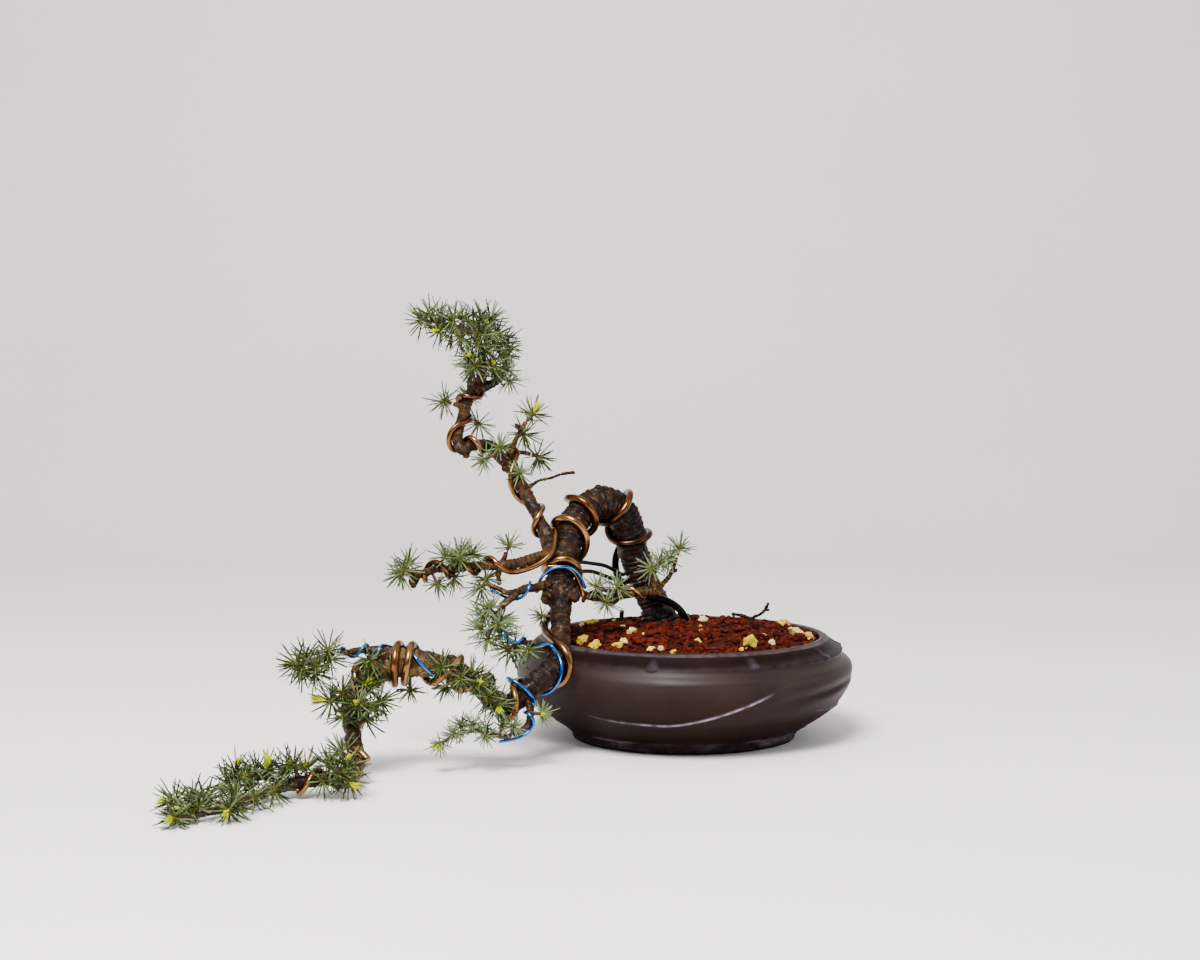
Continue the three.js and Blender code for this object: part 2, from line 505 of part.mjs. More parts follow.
// A closed tube through the samples, with a domed point at each end.
function tubeGeometry(samples, sides, extra = 0) {
  const vertices = [];
  const faces = [];
  const count = samples.length;
  let across = new THREE.Vector3();
  for (let i = 0; i < count; i += 1) {
    const before = samples[Math.max(i - 1, 0)].at;
    const after = samples[Math.min(i + 1, count - 1)].at;
    const along = new THREE.Vector3().subVectors(after, before).normalize();
    if (i === 0) {
      const spare = Math.abs(along.y) < 0.8 ? new THREE.Vector3(0, 1, 0) : new THREE.Vector3(1, 0, 0);
      across.copy(spare);
    }
    across.addScaledVector(along, -across.dot(along)).normalize();
    const up = new THREE.Vector3().crossVectors(along, across);
    for (let k = 0; k < sides; k += 1) {
      const angle = (2 * Math.PI * k) / sides;
      const radius = samples[i].radius + extra;
      const point = samples[i].at.clone()
        .addScaledVector(across, radius * Math.cos(angle))
        .addScaledVector(up, radius * Math.sin(angle));
      vertices.push(point.toArray());
    }
  }
  for (let i = 0; i < count - 1; i += 1) {
    for (let k = 0; k < sides; k += 1) {
      const a = i * sides + k;
      const b = i * sides + ((k + 1) % sides);
      faces.push([a, b, b + sides], [a, b + sides, a + sides]);
    }
  }
  const ends = [[0, 1, -1], [count - 1, count - 2, 1]];
  for (const [end, next, sense] of ends) {
    const outward = new THREE.Vector3().subVectors(samples[end].at, samples[next].at).normalize();
    const pole = samples[end].at.clone().addScaledVector(outward, 0.45 * (samples[end].radius + extra));
    const index = vertices.push(pole.toArray()) - 1;
    for (let k = 0; k < sides; k += 1) {
      const a = end * sides + k;
      const b = end * sides + ((k + 1) % sides);
      faces.push(sense > 0 ? [a, b, index] : [b, a, index]);
    }
  }
  return indexedGeometry(vertices, faces);
}

function limbGeometry(points, sides, step, extra = 0) {
  return tubeGeometry(sampleLimb(limbCurve(points), step), sides, extra);
}

const CURVES = Object.fromEntries(Object.entries(LIMBS).map(([name, points]) => [name, limbCurve(points)]));

const limbSamples = (name) => sampleLimb(CURVES[name], LIMB_STEP);

// The point on a wire that winds round a limb, with the wire's straight runs clear of the bark.
function coilPoint(curve, place, angle, standOff, wireRadius) {
  const at = curve.at(place);
  const along = curve.direction(place);
  const front = new THREE.Vector3(0, -1, 0).addScaledVector(along, along.y).normalize();
  const side = new THREE.Vector3().crossVectors(along, front);
  const reach = (curve.radius(place) + wireRadius + GAP) / Math.cos(rad(STEP_ANGLE / 2)) + standOff;
  return at
    .addScaledVector(front, reach * Math.cos(rad(angle)))
    .addScaledVector(side, reach * Math.sin(rad(angle)));
}

function coilPath(curve, stations, wireRadius, degreesPerStep = STEP_ANGLE) {
  const line = new THREE.CatmullRomCurve3(
    stations.map(([place, angle, off]) => new THREE.Vector3(place, angle / 100, off)),
    false, 'catmullrom', 0.5);
  const last = stations.length - 1;
  const path = [];
  for (let i = 0; i < last; i += 1) {
    const turn = Math.abs(stations[i + 1][1] - stations[i][1]);
    const parts = Math.max(1, Math.round(turn / degreesPerStep));
    for (let k = 0; k < parts; k += 1) {
      const s = line.getPoint((i + k / parts) / last);
      path.push(coilPoint(curve, s.x, s.y * 100, s.z, wireRadius));
    }
  }
  const [place, angle, off] = stations[last];
  path.push(coilPoint(curve, place, angle, off, wireRadius));
  return path;
}

const vectors = (list) => list.map(([x, y, z]) => new THREE.Vector3(x, y, z));

// Each wire's route from end to end, in the order in which the wires were put on.
const WIRES = {
  copper_wire_trunk: {
    radius: TRUNK_WIRE,
    material: 'copper',
    path: [
      ...vectors([[7, 6, 56], [6, 4, 66], [4, 1, 76], [0, -1, 86], [-9, -4, 92], [-16, -4.5, 95]]),
      ...coilPath(CURVES.trunk, TRUNK_COIL, TRUNK_WIRE),
    ],
  },
  copper_wire_crown: {
    radius: CROWN_WIRE,
    material: 'copper',
    path: [
      ...coilPath(CURVES.left, LEFT_COIL, CROWN_WIRE),
      ...vectors([[-88, -50, 132]]),
      ...coilPath(CURVES.crown, CROWN_COIL, CROWN_WIRE),
    ],
  },
  copper_wire_right: {
    radius: BRANCH_WIRE,
    material: 'copper',
    path: [
      ...coilPath(CURVES.trunk, RIGHT_ANCHOR, BRANCH_WIRE),
      ...coilPath(CURVES.right, RIGHT_COIL, BRANCH_WIRE),
    ],
  },
  copper_wire_low: {
    radius: CROWN_WIRE,
    material: 'copper',
    path: coilPath(CURVES.trunk, LOW_COIL, CROWN_WIRE),
  },
  blue_wire_side: {
    radius: BLUE_WIRE,
    material: 'blue',
    path: [
      ...coilPath(CURVES.trunk, BLUE_ACROSS, BLUE_WIRE),
      ...coilPath(CURVES.side, BLUE_SIDE, BLUE_WIRE),
      ...coilPath(CURVES.sideLeft, BLUE_SIDE_LEFT, BLUE_WIRE),
    ],
  },
  blue_wire_low: {
    radius: BLUE_WIRE,
    material: 'blue',
    path: [
      ...vectors([[-118, -98, 83], [-117, -100, 79], [-114, -101, 76]]),
      ...coilPath(CURVES.lower, BLUE_LOWER, BLUE_WIRE),
      ...coilPath(CURVES.trunk, BLUE_TRUNK, BLUE_WIRE),
      ...coilPath(CURVES.low, BLUE_LOW, BLUE_WIRE),
      ...vectors([[-114, -128, 19], [-119, -129, 19]]),
    ],
  },
  blue_wire_upper: {
    radius: BLUE_WIRE,
    material: 'blue',
    path: [
      ...coilPath(CURVES.trunk, BLUE_ARCH, BLUE_WIRE),
      ...coilPath(CURVES.upper, BLUE_UPPER, BLUE_WIRE),
    ],
  },
  tie_wire: {
    radius: TIE_WIRE,
    material: 'tie',
    path: [
      ...coilPath(CURVES.trunk, TIE_NEAR_END, TIE_WIRE),
      ...vectors([[-52, -6, 115], [-62, -18, 118]]),
      ...coilPath(CURVES.trunk, TIE_BEND, TIE_WIRE),
      ...vectors([[-62, -20, 113], [-52, -8, 108]]),
      ...coilPath(CURVES.trunk, TIE_FAR_END, TIE_WIRE),
    ],
  },
};

// Round-ended rods stand for what is already in place.
function rodsOf(owner, samples) {
  return samples.slice(1).map((end, i) => ({
    owner, a: samples[i].at, b: end.at, ra: samples[i].radius, rb: end.radius,
  }));
}

// The nearest points of the line from p to q and of a rod: how far along each, and how far apart.
function nearestApproach(p, q, rod) {
  const d1 = q.clone().sub(p);
  const d2 = rod.b.clone().sub(rod.a);
  const r = p.clone().sub(rod.a);
  const a = d1.dot(d1);
  const e = d2.dot(d2);
  const f = d2.dot(r);
  const c = d1.dot(r);
  const b = d1.dot(d2);
  const denominator = a * e - b * b;
  let s = denominator > 1e-9 ? clamp01((b * f - c * e) / denominator) : 0;
  let t = e > 1e-9 ? (b * s + f) / e : 0;
  if (t < 0) {
    t = 0;
    s = clamp01(-c / a);
  } else if (t > 1) {
    t = 1;
    s = clamp01((b - c) / a);
  }
  const away = p.clone().addScaledVector(d1, s).sub(rod.a.clone().addScaledVector(d2, t));
  return { s, t, away, distance: away.length() - lerp(rod.ra, rod.rb, t) };
}

// Eases a wire off whatever it would cut into, a branch root or another wire, and off itself.
function settleWire(path, radius, rods) {
  for (let round = 0; round < SETTLE_ROUNDS; round += 1) {
    for (let i = 0; i < path.length - 1; i += 1) {
      const own = [];
      for (let k = 0; k < path.length - 1; k += 1) {
        if (Math.abs(k - i) > 4) own.push({ a: path[k], b: path[k + 1], ra: radius, rb: radius });
      }
      const length = path[i].distanceTo(path[i + 1]);
      for (const rod of [...rods, ...own]) {
        if (rod.a.distanceTo(path[i]) > length + rod.ra + radius + 14) continue;
        const { s, away, distance } = nearestApproach(path[i], path[i + 1], rod);
        const missing = radius + SETTLE_GAP - distance;
        if (missing <= 0) continue;
        away.normalize().multiplyScalar(missing);
        path[i].addScaledVector(away, 1 - s);
        path[i + 1].addScaledVector(away, s);
      }
    }
  }
}

function wireGeometry(path, radius) {
  const line = new THREE.CatmullRomCurve3(path, false, 'catmullrom', 0.5);
  const section = new THREE.Shape();
  for (let k = 0; k < WIRE_SIDES; k += 1) {
    const angle = (2 * Math.PI * k) / WIRE_SIDES;
    const x = radius * Math.cos(angle);
    const y = radius * Math.sin(angle);
    if (k === 0) section.moveTo(x, y);
    else section.lineTo(x, y);
  }
  section.closePath();
  return new THREE.ExtrudeGeometry(section, {
    steps: path.length - 1, extrudePath: line, bevelEnabled: false, curveSegments: 1,
  });
}

// Pot.
const OUTER_PROFILE = [
  [0, 0], [FOOT_RADIUS - 1, 0], [FOOT_RADIUS, 5.5], [88, 13],
  [98, 20.5], [105.5, 27.5], [110.5, 35], [BELLY_RADIUS, 43], [111.5, 51], [108, 57.5],
  [101, 64.5], [95.5, RIM_HEIGHT], [MOUTH_RADIUS + 0.6, RIM_HEIGHT - 0.2],
];
const INNER_PROFILE = [
  [MOUTH_RADIUS, 66], [98.5, 58.5], [104.5, 47.5], [102.5, 35.5], [91, 22],
  [75, FLOOR_HEIGHT], [0, FLOOR_HEIGHT],
];

// The middles of the drain holes, in a ring round the centre of the floor.
const DRAINS = Array.from({ length: DRAIN_COUNT }, (_, i) => {
  const angle = Math.PI / 2 + (2 * Math.PI * i) / DRAIN_COUNT;
  return [DRAIN_DISTANCE * Math.cos(angle), DRAIN_DISTANCE * Math.sin(angle)];
});

// Soft ledges that sweep up round the body, from above the foot to the shoulder.
function foldRelief(angle, height) {
  const pitch = 360 / FOLD_COUNT;
  let relief = 0;
  for (const lap of [0, 1]) {
    const turn = ((((angle - FOLD_START) % pitch) + pitch) % pitch) + lap * pitch;
    if (turn > FOLD_SPAN) continue;
    const crest = turn < FOLD_FLAT_SPAN
      ? FOLD_LOWEST + FOLD_DIP * ((FOLD_FLAT_SPAN - turn) / FOLD_FLAT_SPAN) ** 2
      : FOLD_LOWEST + FOLD_CLIMB * ((turn - FOLD_FLAT_SPAN) / FOLD_CLIMB_SPAN) ** 1.5;
    const fade = Math.sin(Math.PI * clamp01(turn / FOLD_SPAN)) ** 0.6;
    const below = crest - height;
    const ledge = below >= 0 ? Math.exp(-below / FOLD_SOFT_SIDE) : Math.exp(below / FOLD_SHARP_SIDE);
    relief = Math.max(relief, FOLD_DEPTH * fade * ledge);
  }
  return relief;
}

// A ring of studs, each a blunt cone pressed on the wall.
function studGeometries({ start, distance, height, size, lean }) {
  return Array.from({ length: STUD_COUNT }, (_, i) => {
    const angle = rad(start + (360 / STUD_COUNT) * i);
    const stud = new THREE.ConeGeometry(size, 4, 6);
    stud.rotateX(Math.PI + rad(lean));
    stud.rotateZ(angle + Math.PI / 2);
    return stud.translate(distance * Math.cos(angle), distance * Math.sin(angle), height);
  });
}

function makePot() {
  const profile = [...OUTER_PROFILE, ...INNER_PROFILE];
  const body = new THREE.LatheGeometry(profile.map(([r, z]) => new THREE.Vector2(r, z)), POT_SEGMENTS);
  body.rotateX(Math.PI / 2);
  const position = body.attributes.position;
  for (let i = 0; i < position.count; i += 1) {
    const x = position.getX(i);
    const y = position.getY(i);
    const z = position.getZ(i);
    const radius = Math.hypot(x, y);
    const onBody = z > 8 && z < 66 && radius > potRadiusAt(z) - 1;
    const grown = onBody ? 1 + foldRelief((Math.atan2(y, x) * 180) / Math.PI, z) / radius : 1;
    position.setXYZ(i, x * grown, y * grown, z);
  }
  let pot = fuse([body, ...studGeometries(UPPER_STUDS), ...studGeometries(LOWER_STUDS)]);
  for (const [x, y] of DRAINS) {
    const hole = new THREE.CylinderGeometry(DRAIN_RADIUS, DRAIN_RADIUS, 4 * FLOOR_HEIGHT, 12);
    hole.rotateX(Math.PI / 2);
    pot = pot.subtract(toSolid(hole.translate(x, y, 0)));
  }
  return toGeometry(largestBody(pot));
}

function makeDrainageMesh() {
  const middle = FLOOR_HEIGHT + GAP + SHEET_THICKNESS / 2;
  const sheet = new THREE.CylinderGeometry(SHEET_RADIUS, SHEET_RADIUS, SHEET_THICKNESS, 20);
  sheet.rotateX(Math.PI / 2);
  let solid = toSolid(sheet.translate(0, 0, middle));
  for (const [x, y] of DRAINS) {
    for (const i of [-0.5, 0.5]) {
      for (const k of [-0.5, 0.5]) {
        const opening = new THREE.BoxGeometry(SHEET_OPENING, SHEET_OPENING, 3 * SHEET_THICKNESS);
        opening.translate(x + i * SHEET_PITCH, y + k * SHEET_PITCH, middle);
        solid = solid.subtract(toSolid(opening));
      }
    }
  }
  return toGeometry(solid);
}

// Soil.
function soilHeight(x, y) {
  const r = Math.hypot(x, y) / MOUTH_RADIUS;
  return SOIL_RIM_HEIGHT + SOIL_RISE * clamp01(1 - r * r) ** 0.8;
}

const PUMICE = [
  [-62, -10, 4], [-72, -45, 4], [-62, -55, 3.5], [-44, -68, 4], [-38, -38, 3], [-46, -30, 3],
  [-42, -58, 3.5], [-14, -76, 4], [-4, -80, 3], [8, 34, 4.5], [14, 0, 4], [12, -26, 3.5],
  [42, -52, 6], [60, -34, 3.5], [64, 18, 4], [68, -6, 5], [78, -22, 4],
];

function makeSoil() {
  const random = seededRandom(7);
  const sheetTop = FLOOR_HEIGHT + GAP + SHEET_THICKNESS;
  const wall = [[90.6, 65.2], [97.8, 58.2], [103.8, 47.4], [101.8, 36], [90.4, 22.5], [74.8, 14.2],
    [SHEET_RADIUS + 1, FLOOR_HEIGHT + 0.8], [SHEET_RADIUS + 1, sheetTop + GAP]];
  const vertices = [[0, 0, soilHeight(0, 0)]];
  const faces = [];
  const rows = [];
  for (let ring = 1; ring <= SOIL_RINGS; ring += 1) {
    const radius = (MOUTH_RADIUS - 0.7) * (ring / (SOIL_RINGS + 0.4));
    rows.push({ radius, height: null });
  }
  for (const [radius, height] of wall) rows.push({ radius, height });
  for (const row of rows) {
    for (let k = 0; k < SOIL_SEGMENTS; k += 1) {
      const angle = (2 * Math.PI * k) / SOIL_SEGMENTS;
      const free = row.height === null;
      const x = row.radius * Math.cos(angle) + (free ? 4 * (random() - 0.5) : 0);
      const y = row.radius * Math.sin(angle) + (free ? 4 * (random() - 0.5) : 0);
      const grain = free ? 2.4 * (random() - 0.5) : 0;
      vertices.push([x, y, free ? soilHeight(x, y) + grain : row.height]);
    }
  }
  const floorCentre = vertices.push([0, 0, sheetTop + GAP]) - 1;
  for (let k = 0; k < SOIL_SEGMENTS; k += 1) {
    const next = (k + 1) % SOIL_SEGMENTS;
    faces.push([0, 1 + k, 1 + next]);
    for (let row = 0; row < rows.length - 1; row += 1) {
      const a = 1 + row * SOIL_SEGMENTS;
      const b = a + SOIL_SEGMENTS;
      faces.push([a + k, b + k, b + next], [a + k, b + next, a + next]);
    }
    const end = 1 + (rows.length - 1) * SOIL_SEGMENTS;
    faces.push([end + k, floorCentre, end + next]);
  }
  let soil = toSolid(indexedGeometry(vertices, faces));
  for (const [x, y, size] of PUMICE) {
    const stone = new THREE.IcosahedronGeometry(size, 0);
    stone.scale(1, 0.85, 0.7);
    stone.rotateZ(6 * random());
    stone.translate(x, y, soilHeight(x, y) + 0.25 * size);
    soil = soil.add(toSolid(stone));
  }
  soil = soil.add(toSolid(limbGeometry(DEAD_STICK, 5, 12)));
  for (const socket of buriedPieces()) soil = soil.subtract(toSolid(socket));
  return toGeometry(largestBody(soil));
}

// Everything that stands in a hole of its own in the soil, a little larger than itself.
function buriedPieces() {
  const wire = WIRES.copper_wire_trunk.path.slice(0, 4);
  return [
    tubeGeometry(limbSamples('trunk').slice(0, 7), LIMB_SIDES.trunk, GAP + 0.15),
    tubeGeometry(wire.map((at) => ({ at, radius: TRUNK_WIRE })), 8, GAP + 0.45),
    limbGeometry(DEAD_TWIG[0], 4, 12, GAP + 0.2),
  ];
}

const DEAD_TWIG = [
  [[47, 12, 62, 0.9], [47, 12, 76, 1], [52, 11, 80, 0.9], [54, 10, 81, 0.9], [59, 9, 88, 0.7]],
  [[47, 12, 76.5, 0.9], [41, 17, 78.5, 0.9], [34, 22, 79, 0.8]],
  [[53, 10, 80.5, 0.8], [57, 9, 79.5, 0.6]],
];
const DEAD_STICK = [[-42, 25, 60, 1.6], [-42, 25, 72, 1.7], [-41.5, 25, 81, 1.5]];

// Wood.
function makeWood() {
  const pieces = Object.keys(LIMBS).map((name) => tubeGeometry(limbSamples(name), LIMB_SIDES[name] ?? 5));
  for (const stub of STUBS) pieces.push(limbGeometry(stub, 5, 20));
  return toGeometry(largestBody(fuse(pieces)));
}

// What a needle has to stay clear of.
const obstacles = [];

function potRadiusAt(height) {
  const outer = OUTER_PROFILE.slice(1, -1);
  for (let i = 0; i < outer.length - 1; i += 1) {
    const [r0, z0] = outer[i];
    const [r1, z1] = outer[i + 1];
    if (height >= z0 && height <= z1) return lerp(r0, r1, (height - z0) / (z1 - z0));
  }
  return 0;
}

function clearOfPot(point) {
  const radius = Math.hypot(point.x, point.y);
  if (radius < MOUTH_RADIUS + 3) return point.z > soilHeight(point.x, point.y) + 3;
  return point.z > RIM_HEIGHT + 1 || radius > potRadiusAt(Math.max(point.z, 0)) + 5;
}

function needleFits(owner, root, tip, width) {
  if (tip.z < FLOOR_CLEARANCE || !clearOfPot(tip)) return false;
  if (!clearOfPot(root.clone().lerp(tip, 0.5))) return false;
  return obstacles.every((rod) => {
    if (rod.a.distanceTo(root) > NEEDLE_LENGTH + 16) return true;
    if (rod.owner === owner && rod.isCore) return true;
    const wanted = rod.owner === owner ? 0.05 : GAP;
    return nearestApproach(root, tip, rod).distance > wanted + width;
  });
}

// One tuft on its spur. The spur ends in a bead whose faces are drawn out into needles.
function tuftGeometry(owner, foot, centre, random) {
  const axis = centre.clone().sub(foot).normalize();
  const frame = new THREE.Quaternion().setFromUnitVectors(new THREE.Vector3(0, 0, 1), axis);
  const spin = 2 * Math.PI * random();
  const ring = (middle, height, radius, turn) => [0, 1, 2, 3, 4].map((k) => {
    const angle = spin + turn + (2 * Math.PI * k) / 5;
    const point = new THREE.Vector3(radius * Math.cos(angle), radius * Math.sin(angle), height);
    return point.applyQuaternion(frame).add(middle);
  });
  const vertices = [
    centre.clone().addScaledVector(axis, TUFT_RADIUS),
    ...ring(centre, 0.45 * TUFT_RADIUS, 0.9 * TUFT_RADIUS, 0),
    ...ring(centre, -0.45 * TUFT_RADIUS, 0.9 * TUFT_RADIUS, Math.PI / 5),
    ...ring(foot, 0, SPUR_RADIUS, Math.PI / 5),
  ];
  const leafy = [];
  const faces = [[11, 13, 12], [11, 14, 13], [11, 15, 14]];
  for (let k = 0; k < 5; k += 1) {
    const next = (k + 1) % 5;
    leafy.push([0, 1 + k, 1 + next], [1 + k, 6 + k, 1 + next], [1 + next, 6 + k, 6 + next]);
    faces.push([6 + k, 11 + k, 11 + next], [6 + k, 11 + next, 6 + next]);
  }
  for (const [a, b, c] of leafy) {
    const root = vertices[a].clone().add(vertices[b]).add(vertices[c]).divideScalar(3);
    const out = root.clone().sub(centre).normalize();
    const tip = random() > BARE_SHARE ? needleTip(owner, root, out, axis, random) : null;
    if (tip) {
      const end = vertices.push(tip) - 1;
      faces.push([a, b, end], [b, c, end], [c, a, end]);
      obstacles.push({ owner, a: root, b: tip, ra: 0.45, rb: 0.05 });
    } else {
      faces.push([a, b, c]);
    }
  }
  return indexedGeometry(vertices.map((v) => v.toArray()), faces);
}

function needleTip(owner, root, out, axis, random) {
  const length = NEEDLE_LENGTH * (0.86 + 0.24 * random());
  for (let attempt = 0; attempt < 9; attempt += 1) {
    const spread = 0.18 + 0.07 * attempt;
    const aim = out.clone().addScaledVector(axis, 0.12);
    aim.x += spread * (2 * random() - 1);
    aim.y += spread * (2 * random() - 1);
    aim.z += spread * (2 * random() - 1);
    aim.normalize();
    if (aim.dot(out) < 0.72) continue;
    const reach = length * (attempt > 5 ? 0.8 : 1);
    const tip = root.clone().addScaledVector(aim, reach);
    if (tip.z < FLOOR_CLEARANCE + 0.2) tip.z = FLOOR_CLEARANCE + 0.2 + 0.6 * random();
    if (needleFits(owner, root, tip, 0.5)) return tip;
  }
  return null;
}

function nearestSample(samples, point) {
  return samples.reduce((best, next) => (
    next.at.distanceTo(point) < best.at.distanceTo(point) ? next : best));
}

// Where a spur that reaches for a point starts, just off the surface of the limb it stands on.
function spurStart(carrier, point, dome = 0) {
  const near = nearestSample(sampleLimb(CURVES[carrier], 1), point);
  const out = point.clone().sub(near.at).normalize();
  return near.at.clone().addScaledVector(out, near.radius + SPUR_GAP + dome);
}

function coreSamples(spray) {
  if (!spray.core) return [];
  const samples = spray.core.map(([x, y, z, radius]) => ({ at: new THREE.Vector3(x, y, z), radius }));
  if (!spray.carrier) return samples;
  const { radius } = samples[0];
  return [{ at: spurStart(spray.carrier, samples[0].at, 0.5 * radius), radius }, ...samples];
}

function spurOf(spray, centre) {
  const core = spray.samples;
  const foot = core.length ? nearestSample(core, centre).at : spurStart(spray.carrier, centre);
  return [{ at: foot, radius: SPUR_RADIUS }, { at: centre, radius: TUFT_RADIUS }];
}

function budGeometry([x, y, z, tipX, tipY, tipZ, radius]) {
  const root = new THREE.Vector3(x, y, z);
  const tip = new THREE.Vector3(tipX, tipY, tipZ);
  const bud = new THREE.OctahedronGeometry(1, 0);
  bud.scale(radius, radius, 0.5 * root.distanceTo(tip));
  const along = tip.clone().sub(root).normalize();
  bud.applyQuaternion(new THREE.Quaternion().setFromUnitVectors(new THREE.Vector3(0, 0, 1), along));
  const middle = root.lerp(tip, 0.5);
  return bud.translate(middle.x, middle.y, middle.z);
}

function makeSpray(name, spray, seed) {
  const random = seededRandom(seed);
  const pieces = spray.samples.length ? [tubeGeometry(spray.samples, CORE_SIDES)] : [];
  for (const [foot, tuft] of spray.spurs) pieces.push(tuftGeometry(name, foot.at, tuft.at, random));
  for (const bud of spray.buds ?? []) pieces.push(budGeometry(bud));
  return toGeometry(largestBody(fuse(pieces)));
}

// Assembly.
const bonsai = new THREE.Group();
bonsai.name = 'blue_atlas_cedar_bonsai';

function addPiece(name, geometry, material) {
  const mesh = new THREE.Mesh(geometry, MATERIALS[material]);
  mesh.name = name;
  bonsai.add(mesh);
}

addPiece('pot', makePot(), 'pot');
addPiece('drainage_mesh', makeDrainageMesh(), 'mesh');
addPiece('trunk_and_branches', makeWood(), 'bark');
addPiece('dead_twig', toGeometry(fuse(DEAD_TWIG.map((twig) => limbGeometry(twig, 4, 12)))), 'deadwood');

for (const name of Object.keys(LIMBS)) obstacles.push(...rodsOf(name, limbSamples(name)));
for (const stub of STUBS) obstacles.push(...rodsOf('stub', sampleLimb(limbCurve(stub), 8)));
for (const [name, wire] of Object.entries(WIRES)) {
  settleWire(wire.path, wire.radius, obstacles);
  obstacles.push(...rodsOf(name, wire.path.map((at) => ({ at, radius: wire.radius }))));
  addPiece(name, wireGeometry(wire.path, wire.radius), wire.material);
}
addPiece('soil', makeSoil(), 'soil');
for (const [name, spray] of Object.entries(SPRAYS)) {
  spray.samples = coreSamples(spray);
  spray.spurs = spray.tufts.map((place) => spurOf(spray, new THREE.Vector3(...place)));
  const buds = (spray.buds ?? []).map(([x, y, z, tipX, tipY, tipZ, radius]) => [
    { at: new THREE.Vector3(x, y, z), radius }, { at: new THREE.Vector3(tipX, tipY, tipZ), radius }]);
  for (const line of [spray.samples, ...spray.spurs, ...buds]) {
    for (const rod of rodsOf(`needles_${name}`, line)) obstacles.push({ ...rod, isCore: true });
  }
}
Object.entries(SPRAYS).forEach(([name, spray], i) => {
  addPiece(`needles_${name}`, makeSpray(`needles_${name}`, spray, 101 + i), 'needles');
});

export default bonsai;
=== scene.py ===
"""Looks of a blue atlas cedar bonsai, trained as a cascade and wired, in a round stoneware pot.

Lists of points are in millimetres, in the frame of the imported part: the origin is the centre
of the pot's foot, +Z is up and -Y looks towards the viewer. Meshes are made in metres.
"""

import functools
import math

import bmesh
import bpy
import mathutils
import numpy as np
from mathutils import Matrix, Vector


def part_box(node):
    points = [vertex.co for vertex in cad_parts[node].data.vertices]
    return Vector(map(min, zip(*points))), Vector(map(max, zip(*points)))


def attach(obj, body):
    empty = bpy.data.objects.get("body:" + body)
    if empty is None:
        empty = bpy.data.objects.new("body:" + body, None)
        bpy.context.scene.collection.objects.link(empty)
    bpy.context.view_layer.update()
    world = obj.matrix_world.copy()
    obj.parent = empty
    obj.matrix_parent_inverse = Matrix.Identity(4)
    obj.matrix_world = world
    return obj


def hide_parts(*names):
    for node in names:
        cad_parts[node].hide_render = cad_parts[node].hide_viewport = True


bl_info = {
    "name": "Blue atlas cedar bonsai",
    "version": (1, 0, 0),
    "blender": (4, 5, 0),
    "location": "3D View > Sidebar > Bonsai",
    "description": "Builds the bark, wires, needles, pot and soil of a wired cedar bonsai",
    "category": "Object",
}

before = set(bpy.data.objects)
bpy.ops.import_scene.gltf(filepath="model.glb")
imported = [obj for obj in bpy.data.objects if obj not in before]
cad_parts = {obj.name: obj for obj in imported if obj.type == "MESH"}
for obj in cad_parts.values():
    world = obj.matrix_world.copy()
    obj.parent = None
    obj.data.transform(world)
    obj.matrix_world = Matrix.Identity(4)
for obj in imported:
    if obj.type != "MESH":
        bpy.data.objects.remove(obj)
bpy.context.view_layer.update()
POT_LOW, POT_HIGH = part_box("pot")
MM = 0.001

# Pot profile and folds, as in the solid.
BELLY_RADIUS = POT_HIGH.x / MM
RIM_HEIGHT = POT_HIGH.z / MM
FOOT_RADIUS = 76
MOUTH_RADIUS = 91.2
DRAIN_RADIUS = 9
DRAIN_DISTANCE = 32
DRAIN_ANGLES = (90, 210, 330)
FLOOR_HEIGHT = 13
STUD_COUNT = 10
FOLD_COUNT = 4
SOIL_RIM_HEIGHT = 65.5
SOIL_RISE = 10.5

# Camera, from the photograph's perspective.
CAMERA_PLACE = (-56.6, -1437.7, 267.3)
CAMERA_PITCH = 3.77
CAMERA_LENS = 64.2

